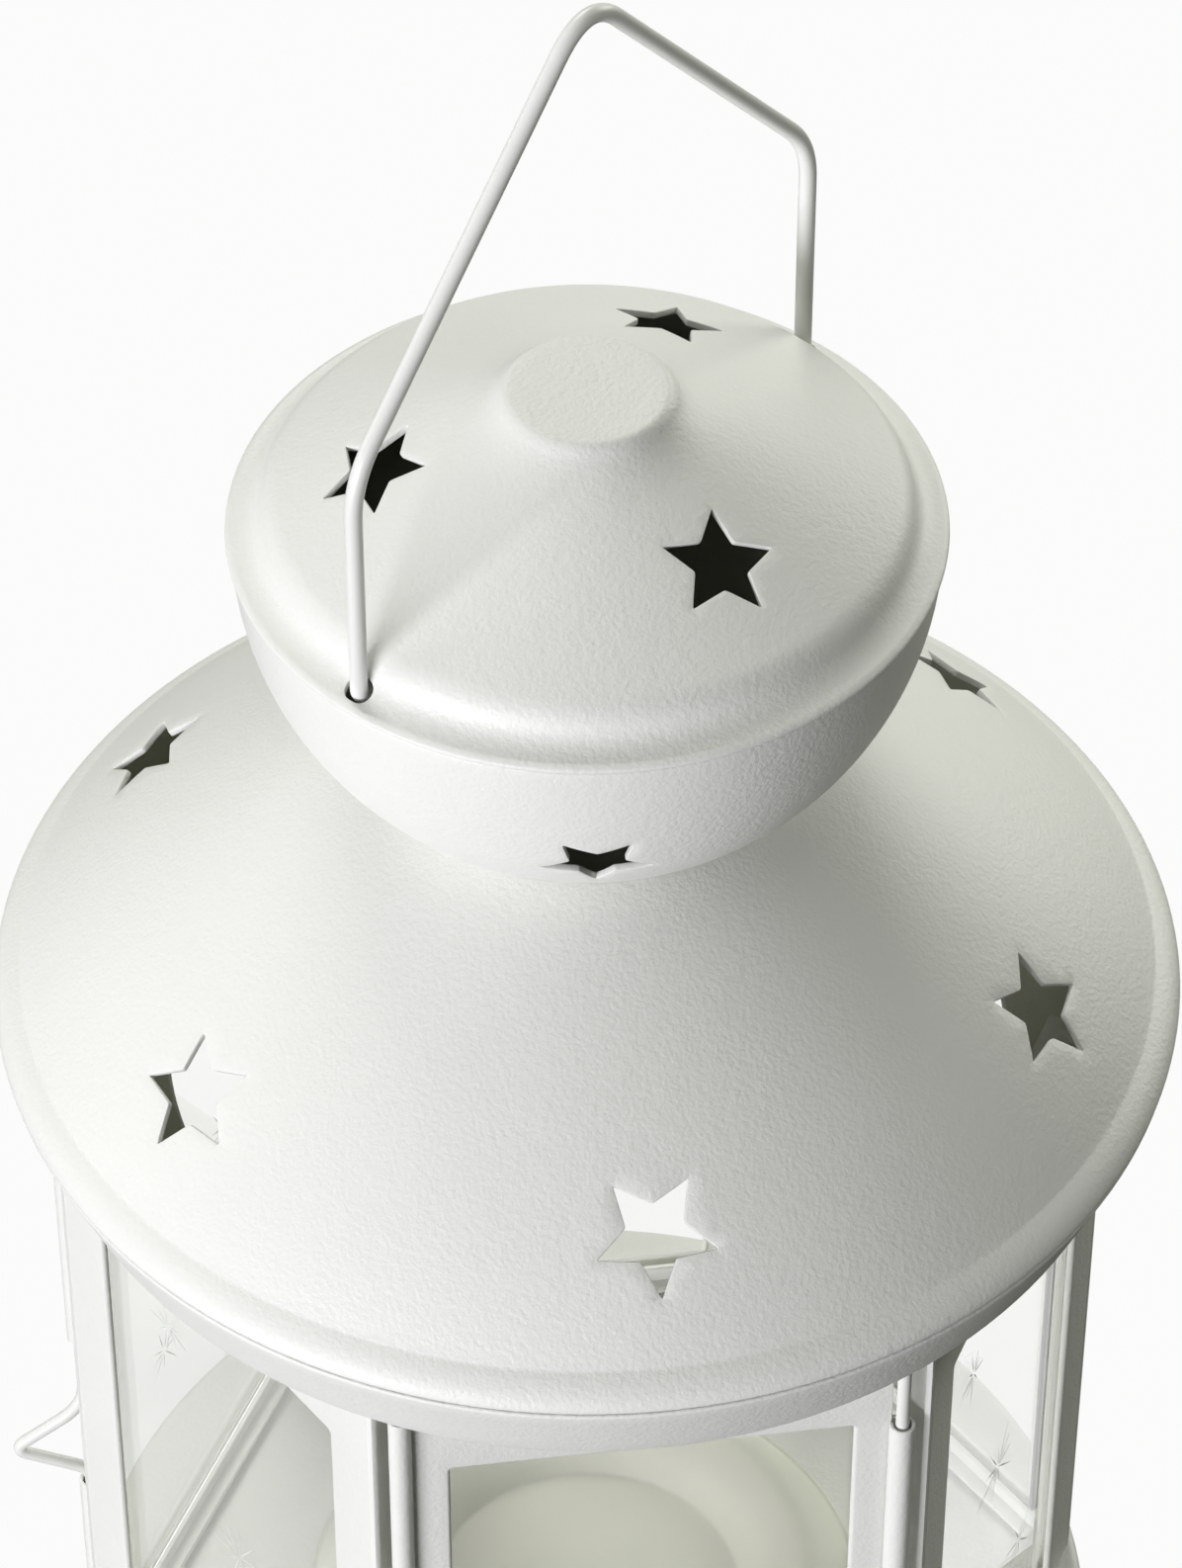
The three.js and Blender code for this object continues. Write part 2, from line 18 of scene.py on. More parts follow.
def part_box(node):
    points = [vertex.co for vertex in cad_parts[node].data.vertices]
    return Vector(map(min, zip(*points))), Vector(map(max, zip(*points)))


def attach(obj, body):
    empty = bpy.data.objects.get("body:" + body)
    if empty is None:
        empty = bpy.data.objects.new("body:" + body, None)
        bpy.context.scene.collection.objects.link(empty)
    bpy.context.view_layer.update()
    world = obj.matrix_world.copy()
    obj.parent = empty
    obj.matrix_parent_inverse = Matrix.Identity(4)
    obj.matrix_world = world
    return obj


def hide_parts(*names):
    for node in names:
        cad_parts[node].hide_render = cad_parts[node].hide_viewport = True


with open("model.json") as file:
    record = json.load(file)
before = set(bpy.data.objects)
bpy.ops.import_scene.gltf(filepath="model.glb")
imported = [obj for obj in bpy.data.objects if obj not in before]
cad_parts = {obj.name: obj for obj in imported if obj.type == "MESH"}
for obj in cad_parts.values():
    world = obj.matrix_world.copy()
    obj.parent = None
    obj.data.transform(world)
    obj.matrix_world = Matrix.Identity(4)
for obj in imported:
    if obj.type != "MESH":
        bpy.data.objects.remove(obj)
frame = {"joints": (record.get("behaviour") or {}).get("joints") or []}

LOG = logging.getLogger("lantern")
MM = 0.001
FULL_TURN = 2 * math.pi
FOLD = math.radians(38)
SHARP_TURN = math.radians(14)
ARM_SHARE = 0.45
ROUNDING_SHARE = 0.3
END_SOFTENING = 0.4
ALMOST_ROUND = 0.999
AXIS_RADIUS = 1e-6
MERGE_DISTANCE = 1e-7
SEEN_RAYS = ("Is Camera Ray", "Is Transmission Ray", "Is Singular Ray")

Colour = tuple[float, float, float]
Span = tuple[float, float]
Ring = tuple[tuple[float, float], ...]


class Body(str, Enum):
    """The rigid bodies that pieces ride on."""

    LANTERN = "lantern"
    HANDLE = "handle"


class Slot(str, Enum):
    """The record's material slots."""

    COAT = "white_coat"
    WIRE = "white_wire"
    GLASS = "clear_glass"


class Face(Enum):
    """The six faces of the body, anticlockwise from the front as seen from above."""

    FRONT_DOOR = 0
    RIGHT_WINDOW = 1
    RIGHT_DOOR = 2
    REAR_WINDOW = 3
    LEFT_DOOR = 4
    LEFT_WINDOW = 5

    @property
    def title(self) -> str:
        """The face's name as the CAD nodes spell it."""
        return self.name.lower()

    @property
    def is_door(self) -> bool:
        """True for a face that opens."""
        return self.name.endswith("DOOR")

    @property
    def body(self) -> str:
        """The body that the face's frame and pane ride on."""
        return self.title if self.is_door else Body.LANTERN.value

    @property
    def turn(self) -> Matrix:
        """The turn from the front face's place to this face's place."""
        return Matrix.Rotation(self.value * FULL_TURN / len(Face), 4, "Z")


# Shader nodes


def fill(tree: NodeTree, node: Node, inputs: dict[str | int, object]) -> None:
    """Sets a node's inputs, and links those that are given a socket."""
    for key, value in inputs.items():
        if isinstance(value, NodeSocket):
            tree.links.new(value, node.inputs[key])
        else:
            node.inputs[key].default_value = value


def add_node(tree: NodeTree, kind: str, inputs: dict[str | int, object], **settings: object) -> Node:
    """Adds a shader node.

    Args:
        tree: The node tree.
        kind: The node's type.
        inputs: Its inputs, each with a value or the socket that feeds it.
        **settings: The node's own settings.

    Returns:
        The node.
    """
    node = tree.nodes.new(kind)
    for key, value in settings.items():
        setattr(node, key, value)
    fill(tree, node, inputs)
    return node


def new_group(name: str, inputs: dict[str, float], outputs: Sequence[str]) -> NodeTree:
    """Makes an empty shader group with float sockets.

    Args:
        name: The group's name.
        inputs: Input names with their default values.
        outputs: Output names.

    Returns:
        The group, with its input and output nodes inside.
    """
    group = bpy.data.node_groups.new(name, "ShaderNodeTree")
    for title, value in inputs.items():
        socket = group.interface.new_socket(title, in_out="INPUT", socket_type="NodeSocketFloat")
        socket.default_value = value
    for title in outputs:
        group.interface.new_socket(title, in_out="OUTPUT", socket_type="NodeSocketFloat")
    group.nodes.new("NodeGroupInput").name = "Inputs"
    group.nodes.new("NodeGroupOutput").name = "Outputs"
    return group


def coat_grain() -> NodeTree:
    """Builds a sprayed coat's skin at its first use: fine grain over soft waves, and broad mottle.

    Returns:
        A group with the outputs Height and Mottle.
    """
    found = bpy.data.node_groups.get("Coat Grain")
    if found:
        return found
    inputs = {"Grain Size": 0.0005, "Wave Size": 0.0022, "Wave Share": 0.35, "Mottle Size": 0.03}
    group = new_group("Coat Grain", inputs, ["Height", "Mottle"])
    given = group.nodes["Inputs"].outputs
    place = group.nodes.new("ShaderNodeTexCoord").outputs["Object"]

    def noise(size: str, detail: float) -> NodeSocket:
        """Adds a noise texture with a given size in metres."""
        scale = add_node(group, "ShaderNodeMath", {0: 1.0, 1: given[size]}, operation="DIVIDE")
        inputs = {"Detail": detail, "Vector": place, "Scale": scale.outputs[0]}
        return add_node(group, "ShaderNodeTexNoise", inputs).outputs["Fac"]

    grain, wave = noise("Grain Size", detail=2.0), noise("Wave Size", detail=1.0)
    mix = add_node(group, "ShaderNodeMix", {"Factor": given["Wave Share"], "A": grain, "B": wave})
    skin = {"Height": mix.outputs["Result"], "Mottle": noise("Mottle Size", detail=3.0)}
    fill(group, group.nodes["Outputs"], skin)
    return group


def principled(name: str, inputs: dict[str | int, object]) -> tuple[Material, NodeTree, Node]:
    """Makes a material with one shader.

    Args:
        name: The material's name.
        inputs: The shader's inputs.

    Returns:
        The material, its node tree and its shader.
    """
    made = bpy.data.materials.new(name)
    made.use_nodes = True
    shader = made.node_tree.nodes["Principled BSDF"]
    fill(made.node_tree, shader, inputs)
    return made, made.node_tree, shader


def split_rays(
    tree: NodeTree, kinds: Sequence[str], shown: NodeSocket, other: NodeSocket, end: Node
) -> None:
    """Gives one shader to some kinds of ray and another to the rest.

    Args:
        tree: The node tree.
        kinds: The kinds of ray.
        shown: The shader for these rays.
        other: The shader for all others.
        end: The tree's output.
    """
    path = tree.nodes.new("ShaderNodeLightPath")
    share = path.outputs[kinds[0]]
    for kind in kinds[1:]:
        either = {0: share, 1: path.outputs[kind]}
        share = add_node(tree, "ShaderNodeMath", either, operation="MAXIMUM").outputs[0]
    mix = add_node(tree, "ShaderNodeMixShader", {"Fac": share, 1: other, 2: shown})
    fill(tree, end, {"Surface": mix.outputs["Shader"]})


# Finishes


def shaded(colour: Colour, share: float = 1.0) -> tuple[float, float, float, float]:
    """Returns a colour scaled by a share, as a node socket takes it."""
    red, green, blue = (min(1.0, c * share) for c in colour)
    return red, green, blue, 1.0


@dataclass(frozen=True)
class Finish:
    """A named finish, whose material is built at its first use."""

    name: str
    colour: Colour
    roughness: float

    def material(self) -> Material:
        """Returns the finish's material."""
        return bpy.data.materials.get(self.name) or self.make()

    def make(self) -> Material:
        """Builds the finish's material."""
        raise NotImplementedError


@dataclass(frozen=True)
class Coat(Finish):
    """A sprayed coat, with the grain and unevenness of its skin. Sizes are in metres."""

    grain_size: float = 0.0005
    relief: float = 0.00003
    unevenness: float = 0.03
    ior: float = 1.48

    def make(self) -> Material:
        """Builds the coat's material."""
        made, tree, shader = principled(self.name, {"IOR": self.ior})
        inputs = {"Grain Size": self.grain_size}
        grain = add_node(tree, "ShaderNodeGroup", inputs, node_tree=coat_grain())
        height, mottle = grain.outputs["Height"], grain.outputs["Mottle"]
        darker, paler = (shaded(self.colour, 1 + way * self.unevenness) for way in (-1, 1))
        tones = {"A": darker, "B": paler, "Factor": mottle}
        tint = add_node(tree, "ShaderNodeMix", tones, data_type="RGBA")
        low, high = around(self.roughness, self.unevenness)
        inputs = {"To Min": low, "To Max": high, "Value": mottle}
        gloss = add_node(tree, "ShaderNodeMapRange", inputs)
        inputs = {"Strength": 1.0, "Distance": self.relief, "Height": height}
        bump = add_node(tree, "ShaderNodeBump", inputs)
        fill(tree, shader, {
            "Base Color": tint.outputs["Result"],
            "Roughness": gloss.outputs["Result"],
            "Normal": bump.outputs["Normal"],
        })
        return made


@dataclass(frozen=True)
class ClearGlass(Finish):
    """Float glass that lets light through to what is behind it."""

    ior: float = 1.4

    def make(self) -> Material:
        """Builds the glass's material."""
        colour = shaded(self.colour)
        inputs = {"Base Color": colour, "Roughness": self.roughness, "IOR": self.ior}
        made, tree, shader = principled(self.name, inputs | {"Transmission Weight": 1.0})
        clear = add_node(tree, "ShaderNodeBsdfTransparent", {"Color": colour})
        light = ("Is Shadow Ray", "Is Diffuse Ray")
        end = tree.nodes["Material Output"]
        split_rays(tree, light, clear.outputs["BSDF"], shader.outputs["BSDF"], end)
        return made


POWDER = Coat("powder_coat", (0.80, 0.805, 0.77), 0.5, grain_size=0.0006, relief=0.00013)
# Painted shade: a darker, olive-tinted copy of the white coat on the roof's and collar's insides and on
# the dish, standing in for the shade inside the lantern.
PAINTED_SHADE_LINER = Coat("liner_painted_shade", (0.6, 0.605, 0.52), 0.6)
# Painted shade: a much darker, olive-tinted copy of the white coat on the insides of the bowl and lid,
# standing in for the shade in the closed cap.
PAINTED_SHADE_INNER = Coat("inner_painted_shade", (0.30, 0.305, 0.25), 0.65, unevenness=0.08)
WIRE = Coat("wire_paint", (0.80, 0.805, 0.775), 0.34, grain_size=0.0009, relief=0.000012)
ETCHED = Coat("etched_glass", (0.72, 0.74, 0.71), 0.8, grain_size=0.0002, relief=0.00001)
GLASS = ClearGlass("clear_glass_pane", (0.992, 0.995, 0.985), 0.0)


# Mesh helpers


@dataclass
class Shell:
    """Vertices in millimetres and faces, each face with the number of its finish."""

    vertices: list[Vector] = field(default_factory=list)
    faces: list[tuple[int, ...]] = field(default_factory=list)
    finishes: list[int] = field(default_factory=list)

    def add_point(self, point: Vector) -> int:
        """Adds a vertex and returns its number."""
        self.vertices.append(point)
        return len(self.vertices) - 1

    def add_face(self, corners: Iterable[int], finish: int = 0) -> None:
        """Adds a face, leaving out corners that repeat."""
        ring = list(dict.fromkeys(corners))
        if len(ring) > 2:
            self.faces.append(tuple(ring))
            self.finishes.append(finish)

    def bridge(self, *rings: Sequence[int]) -> None:
        """Joins closed rings of as many points, each to the next, with bands of faces."""
        for first, second in zip(rings, rings[1:]):
            count = len(first)
            for i in range(count):
                j = (i + 1) % count
                self.add_face((first[i], first[j], second[j], second[i]))

    def mesh(self, name: str, turn: Matrix | None = None) -> Mesh:
        """Makes a smooth mesh in metres, with its folds kept sharp.

        Args:
            name: The mesh's name.
            turn: A turn about the lantern's middle.

        Returns:
            The mesh.
        """
        made = bpy.data.meshes.new(name)
        made.from_pydata([v * MM for v in self.vertices], [], self.faces)
        made.polygons.foreach_set("material_index", self.finishes)
        if turn is not None:
            made.transform(turn)
        smooth_with_folds(made)
        return made


def smooth_with_folds(mesh: Mesh) -> None:
    """Shades a mesh smooth and marks the edges that turn more than the fold angle as sharp."""
    work = bmesh.new()
    work.from_mesh(mesh)
    bmesh.ops.recalc_face_normals(work, faces=work.faces)
    for face in work.faces:
        face.smooth = True
    for edge in work.edges:
        edge.smooth = len(edge.link_faces) != 2 or edge.calc_face_angle(0.0) < FOLD
    work.to_mesh(mesh)
    work.free()


def place(
    name: str, mesh: Mesh, body: str, slot: Slot, finishes: Sequence[Finish], node: str | None = None
) -> None:
    """Adds a piece to the scene and ties it to the frame.

    Args:
        name: The piece's name.
        mesh: Its mesh, in the lantern's frame.
        body: The body that it rides on.
        slot: Not used.
        finishes: Its finishes, in the order of the mesh's finish numbers.
        node: The CAD node that it stands for, if any.
    """
    piece = bpy.data.objects.new(name, mesh)
    bpy.context.scene.collection.objects.link(piece)
    for finish in finishes:
        mesh.materials.append(finish.material())
    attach(piece, body)
    if node:
        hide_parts(node)
    LOG.info("%s rides on %s with %d faces", name, body, len(mesh.polygons))


def united(shells: Sequence[Shell], name: str, cutters: Sequence[Shell] = ()) -> Mesh:
    """Joins closed shells that overlap into one closed mesh.

    Args:
        shells: The shells, the main one first.
        name: The mesh's name.
        cutters: Closed shells that are then cut away.

    Returns:
        The joined mesh.
    """
    pieces = []
    for i, shell in enumerate([*shells, *cutters]):
        piece = bpy.data.objects.new(f"{name}_{i}", shell.mesh(f"{name}_{i}"))
        bpy.context.scene.collection.objects.link(piece)
        pieces.append(piece)
    for i, other in enumerate(pieces[1:], 1):
        join = pieces[0].modifiers.new(other.name, "BOOLEAN")
        join.operation = "UNION" if i < len(shells) else "DIFFERENCE"
        join.solver = "EXACT"
        join.object = other
    bpy.context.view_layer.update()
    graph = bpy.context.evaluated_depsgraph_get()
    made = bpy.data.meshes.new_from_object(pieces[0].evaluated_get(graph))
    made.name = name
    for piece in pieces:
        old = piece.data
        bpy.data.objects.remove(piece)
        bpy.data.meshes.remove(old)
    smooth_with_folds(made)
    return made


# Chains and rings of points


def around(middle: float, half: float) -> Span:
    """Returns the span on both sides of a middle."""
    return middle - half, middle + half


def grown(span: Span, by: float) -> Span:
    """Returns a span that is longer at both ends."""
    return span[0] - by, span[1] + by


def level(x: float, y: float, z: float) -> Vector:
    """Returns a flat point raised to a height."""
    return Vector((x, y, z))


def bearing(angle: float) -> Vector:
    """Returns the flat direction at an angle."""
    return Vector((math.cos(angle), math.sin(angle)))


def quadratic(start: Vector, turn: Vector, end: Vector, steps: int) -> list[Vector]:
    """Returns the points of a curve that leans on a turning point, with both ends."""
    shares = [i / steps for i in range(steps + 1)]
    return [start.lerp(turn, t).lerp(turn.lerp(end, t), t) for t in shares]


def divided(points: Sequence[Vector], step: float) -> list[Vector]:
    """Divides a chain's stretches until none is longer than a step."""
    made = [points[0]]
    for a, b in zip(points, points[1:]):
        count = max(1, math.ceil((b - a).length / step))
        made += [a.lerp(b, i / count) for i in range(1, count + 1)]
    return made


def trimmed_chain(points: Sequence[Vector], length: float) -> list[Vector]:
    """Takes a length off the start of a chain of points."""
    made = list(points)
    while (made[1] - made[0]).length <= length:
        length -= (made[1] - made[0]).length
        made.pop(0)
    made[0] = made[0] + (made[1] - made[0]).normalized() * length
    return made


def rounded_chain(points: Sequence[Vector], arm: float, steps: int = 4) -> list[Vector]:
    """Rounds the sharp corners of an open chain of points.

    Args:
        points: The chain.
        arm: How much of each arm a rounding takes, at most.
        steps: How many stretches a rounding has.

    Returns:
        The rounded chain.
    """
    made = [points[0].copy()]
    for before, corner, after in zip(points, points[1:], points[2:]):
        back, ahead = before - corner, after - corner
        if back.angle(-ahead) < SHARP_TURN:
            made.append(corner.copy())
            continue
        reach = min(arm, ARM_SHARE * back.length, ARM_SHARE * ahead.length)
        start, end = (corner + way.normalized() * reach for way in (back, ahead))
        made += quadratic(start, corner, end, steps)
    made.append(points[-1].copy())
    return made


def side_normals(points: Sequence[Vector]) -> list[Vector]:
    """Returns each point's step to the left that moves a chain by one unit, with mitred corners."""
    sides = [Vector((a.y - b.y, b.x - a.x)).normalized() for a, b in zip(points, points[1:])]
    made = []
    for i in range(len(points)):
        before, after = sides[max(i - 1, 0)], sides[min(i, len(sides) - 1)]
        mitre = (before + after).normalized()
        made.append(mitre / mitre.dot(before))
    return made


def outset_ring(ring: Sequence[Vector], distance: float) -> list[Vector]:
    """Moves a closed anticlockwise ring of flat points outwards."""
    steps = side_normals([ring[-1], *ring, ring[0]])[1:-1]
    return [point - step * distance for point, step in zip(ring, steps)]


def inside_ring(point: Vector, ring: Sequence[Vector]) -> bool:
    """Returns True if a flat point lies inside a closed ring."""
    within = False
    for a, b in zip(ring, [*ring[1:], ring[0]]):
        if (a.y > point.y) != (b.y > point.y):
            if point.x < a.x + (b.x - a.x) * (point.y - a.y) / (b.y - a.y):
                within = not within
    return within


def ring_distance(point: Vector, ring: Sequence[Vector]) -> float:
    """Returns a flat point's distance from a closed ring."""
    best = math.inf
    for a, b in zip(ring, [*ring[1:], ring[0]]):
        share = intersect_point_line(point, a, b)[1]
        near = a.lerp(b, min(1.0, max(0.0, share)))
        best = min(best, (point - near).length)
    return best


class Outline:
    """A spun sheet's outer face as points of radius and height, in millimetres."""

    def __init__(self, radius: float, height: float) -> None:
        """Starts the outline at a point."""
        self.points = [Vector((radius, height))]

    def line(self, radius: float, height: float) -> "Outline":
        """Goes straight to a point."""
        self.points.append(Vector((radius, height)))
        return self

    def curve(self, turn: Vector, end: Vector, steps: int = 10) -> "Outline":
        """Bends to a point along a curve that leans on a turning point."""
        self.points += quadratic(self.points[-1], turn, end, steps)[1:]
        return self

    def arc(self, centre: Vector, radius: float, span: Span, steps: int = 28) -> "Outline":
        """Goes straight to a circle and along it, between two angles."""
        for i in range(steps + 1):
            self.points.append(centre + radius * bearing(span[0] + (span[1] - span[0]) * i / steps))
        return self

    def finished(self, arm: float, step: float, trim: Span) -> list[Vector]:
        """Rounds the corners, shortens the ends and divides long stretches.

        Args:
            arm: How much of each arm a corner's rounding takes.
            step: The longest stretch left.
            trim: What comes off the start and the end.

        Returns:
            The points.
        """
        points = trimmed_chain(rounded_chain(self.points, arm), trim[0])
        return divided(trimmed_chain(points[::-1], trim[1])[::-1], step)


# Openings through a sheet


@dataclass(frozen=True)
class Opening:
    """A hole through a sheet, drawn on the plane that touches the sheet at its middle.

    The ring's first axis runs down the sheet and its second axis runs round it.
    """

    middle: Vector
    down: Vector
    around: Vector
    ring: Ring

    def points(self, outset: float) -> list[Vector]:
        """Returns the ring in space, moved outwards by a distance."""
        ring = outset_ring([Vector(p) for p in self.ring], outset)
        return [self.middle + self.down * p.x + self.around * p.y for p in ring]


def divided_ring(corners: Sequence[Vector], arm: float, step: float) -> Ring:
    """Rounds a closed ring's corners and divides its sides.

    Args:
        corners: The ring's corners.
        arm: How much of each side a rounding takes.
        step: The longest stretch left.

    Returns:
        The ring as pairs of numbers.
    """
    start = corners[-1].lerp(corners[0], 0.5)
    chain = rounded_chain([start, *corners, start], arm, steps=3)
    return tuple(tuple(p) for p in divided(chain, step)[:-1])


@dataclass(frozen=True)
class Star:
    """A five-pointed star-shaped vent, with one point down the slope before it is spun."""

    radius: float
    waist: float = 0.48
    points: int = 5
    spin: float = 0.0
    tip_arm: float = 0.3
    side_step: float = 0.9

    def ring(self) -> Ring:
        """Returns the star's outline."""
        corners = []
        for i in range(2 * self.points):
            reach = self.radius * (self.waist if i % 2 else 1)
            corners.append(reach * bearing(self.spin + i * math.pi / self.points))
        return divided_ring(corners, self.tip_arm, self.side_step)


def stadium(half_length: float, half_width: float, steps: int = 10) -> Ring:
    """Returns a slot's outline with round ends, long across the slope."""
    straight, ring = half_length - half_width, []
    for end, i in product((1, -1), range(steps + 1)):
        arm = half_width * bearing(math.pi * i / steps)
        ring.append((end * arm.x, end * (straight + arm.y)))
    return tuple(ring)


def box_ring(half_down: float, half_around: float, arm: float = 0.3, step: float = 2.0) -> Ring:
    """Returns a rectangular slot's outline with small round corners."""
    corners = [(1, -1), (1, 1), (-1, 1), (-1, -1)]
    return divided_ring([Vector((x * half_down, y * half_around)) for x, y in corners], arm, step)


@dataclass
class SpunSheet:
    """A sheet of revolution with round edges and pierced openings, in millimetres.

    The outline is its outer face and the sheet lies to the left of the outline. An outline that
    ends on the axis closes there.
    """

    outline: list[Vector]
    thickness: float
    openings: list[Opening] = field(default_factory=list)
    segments: int = 168
    cut_edge: float = 0.16
    cap_steps: int = 6
    fill_margin: float = 0.3

    def __post_init__(self) -> None:
        """Works out the sheet's inward steps and its rows' places along the outline."""
        self.steps = side_normals(self.outline)
        self.along = [0.0]
        for a, b in zip(self.outline, self.outline[1:]):
            self.along.append(self.along[-1] + (b - a).length)

    def spot(self, row: float, depth: float) -> Vector:
        """Returns the radius and height at a row, below the outer face by a depth."""
        low = min(int(row), len(self.outline) - 2)
        share = row - low
        step = self.steps[low].lerp(self.steps[low + 1], share)
        return self.outline[low].lerp(self.outline[low + 1], share) + step * depth

    def swung(self, spot: Vector, turn: float) -> Vector:
        """Returns a point of radius and height, swung round the axis by a turn in segments."""
        angle = turn * FULL_TURN / self.segments
        return Vector((spot.x * math.cos(angle), spot.x * math.sin(angle), spot.y))

    def locate(self, point: Vector, near: float) -> tuple[float, float]:
        """Finds the spot of the outer face that is nearest to a point.

        Args:
            point: The point in space.
            near: A turn that the answer's turn lies close to.

        Returns:
            Its turn, counted in segments, and its row.
        """
        turn = math.atan2(point.y, point.x) / FULL_TURN * self.segments
        turn = near + (turn - near + self.segments / 2) % self.segments - self.segments / 2
        flat = Vector((math.hypot(point.x, point.y), point.z))
        best, row = math.inf, 0.0
        for i, (a, b) in enumerate(zip(self.outline, self.outline[1:])):
            side = b - a
            share = min(1.0, max(0.0, (flat - a).dot(side) / side.length_squared))
            gap = (a + side * share - flat).length_squared
            if gap < best:
                best, row = gap, i + share
        return turn, row

    def shell(self) -> Shell:
        """Builds the closed shell, with finish 0 on the outer face and 1 on the inner face."""
        made, last = Shell(), len(self.outline) - 1
        outer = [self._ring(made, spot) for spot in self.outline]
        inner = [self._ring(made, self.spot(i, self.thickness)) for i in range(last + 1)]
        taken = set()
        for opening in self.openings:
            taken |= self._pierce(made, opening, outer, inner)
        self._skin(made, outer, taken, 0)
        self._skin(made, inner, taken, 1)
        self._edge(made, outer[0], inner[0], 0, 1)
        if self.outline[-1].x >= AXIS_RADIUS:
            self._edge(made, outer[last], inner[last], last, -1)
        return made

    def _ring(self, made: Shell, spot: Vector) -> list[int]:
        """Adds a ring of points, or one point on the axis, and returns the numbers round it."""
        if spot.x < AXIS_RADIUS:
            return [made.add_point(Vector((0, 0, spot.y)))] * self.segments
        return [made.add_point(self.swung(spot, i)) for i in range(self.segments)]

    def _skin(
        self, made: Shell, rows: list[list[int]], taken: set[tuple[int, int]], finish: int
    ) -> None:
        """Adds the faces between rows, apart from the cells that openings have taken."""
        for j, (low, high) in enumerate(zip(rows, rows[1:])):
            for i in range(self.segments):
                if (i, j) not in taken:
                    k = (i + 1) % self.segments
                    ring = (low[i], low[k], high[k], high[i])
                    made.add_face(ring if finish == 0 else ring[::-1], finish)

    def _edge(self, made: Shell, outer: list[int], inner: list[int], row: int, way: int) -> None:
        """Closes the sheet's free edge with a half round."""
        top, low = self.spot(row, 0), self.spot(row, self.thickness)
        middle, arm = (top + low) / 2, (top - low) / 2
        out = Vector((-arm.y, arm.x)) * -way
        if out.dot(self.outline[row + way] - self.outline[row]) > 0:
            out = -out
        rings = [outer]
        for i in range(1, self.cap_steps):
            angle = math.pi * i / self.cap_steps
            rings.append(self._ring(made, middle + arm * math.cos(angle) + out * math.sin(angle)))
        rings.append(inner)
        for a, b in zip(rings, rings[1:]):
            made.bridge(*((a, b) if way < 0 else (b, a)))

    def _pierce(
        self, made: Shell, opening: Opening, outer: list[list[int]], inner: list[list[int]]
    ) -> set[tuple[int, int]]:
        """Cuts an opening through both skins and rounds its edges.

        Args:
            made: The shell to add to.
            opening: The opening.
            outer: The outer skin's point numbers, row by row.
            inner: The inner skin's point numbers, row by row.

        Returns:
            The cells of the skins that the opening's own faces take the place of.
        """
        near = math.atan2(opening.middle.y, opening.middle.x) / FULL_TURN * self.segments
        edge, deep = self.cut_edge, self.thickness
        soft = edge * (1 - math.sqrt(0.5))
        levels = [(edge, 0), (soft, soft), (0, edge)]
        levels += [(outset, deep - depth) for outset, depth in reversed(levels)]
        rings, rim = [], []
        for outset, depth in levels:
            rim = [self.locate(p, near) for p in opening.points(outset)]
            rings.append([made.add_point(self.swung(self.spot(row, depth), turn)) for turn, row in rim])
        made.bridge(*rings)
        turns, rows = zip(*rim)
        columns = (math.floor(min(turns)) - 1, math.ceil(max(turns)) + 1)
        ranks = (max(0, math.floor(min(rows)) - 1), min(len(outer) - 1, math.ceil(max(rows)) + 1))
        self._fill(made, columns, ranks, rim, (outer, rings[0], 0))
        self._fill(made, columns, ranks, rim, (inner, rings[-1], 1))
        return {(i % self.segments, j) for i, j in product(range(*columns), range(*ranks))}

    def _flat(self, turn: float, row: float, radius: float) -> Vector:
        """Returns a spot of the sheet rolled out flat, in millimetres."""
        low = min(int(row), len(self.along) - 2)
        height = self.along[low] + (row - low) * (self.along[low + 1] - self.along[low])
        return Vector((turn * FULL_TURN / self.segments * radius, height))

    def _fill(
        self,
        made: Shell,
        turns: tuple[int, int],
        rows: tuple[int, int],
        rim: list[tuple[float, float]],
        skin: tuple[list[list[int]], list[int], int],
    ) -> None:
        """Fills one skin between a block of cells and the opening inside it.

        Args:
            made: The shell to add to.
            turns: The block's first and last segment.
            rows: The block's first and last row.
            rim: The opening's spots on the skin.
            skin: The skin's point numbers, the opening's point numbers and the skin's finish.
        """
        numbers, ring, finish = skin
        radius = self.outline[(rows[0] + rows[1]) // 2].x
        loop = [self._flat(*spot, radius) for spot in rim]
        spots, ids, spot_of = [], [], {}
        margin = self.fill_margin * FULL_TURN / self.segments * radius
        for i, j in product(range(turns[0], turns[1] + 1), range(rows[0], rows[1] + 1)):
            flat = self._flat(i, j, radius)
            border = i in turns or j in rows
            if border or not (inside_ring(flat, loop) or ring_distance(flat, loop) < margin):
                spot_of[i, j] = len(spots)
                spots.append(flat)
                ids.append(numbers[j][i % self.segments])
        base = len(spots)
        spots += loop
        ids += ring
        edges = [(base + k, base + (k + 1) % len(loop)) for k in range(len(loop))]
        for i in range(*turns):
            edges += [(spot_of[i, j], spot_of[i + 1, j]) for j in rows]
        for j in range(*rows):
            edges += [(spot_of[i, j], spot_of[i, j + 1]) for i in turns]
        _, _, faces, origin, _, _ = delaunay_2d_cdt(spots, edges, [], 0, MERGE_DISTANCE)
        for face in faces:
            corners = [origin[v][0] for v in face]
            centre = sum((spots[c] for c in corners), Vector((0, 0))) / len(corners)
            if not inside_ring(centre, loop):
                names = [ids[c] for c in corners]
                made.add_face(names if finish == 0 else names[::-1], finish)


def place_sheet(name: str, sheet: SpunSheet, finishes: tuple[Finish, Finish], node: str) -> None:
    """Adds a spun sheet to the lantern's body, with its finishes outside and inside."""
    place(name, sheet.shell().mesh(name), Body.LANTERN.value, Slot.COAT, finishes, node)


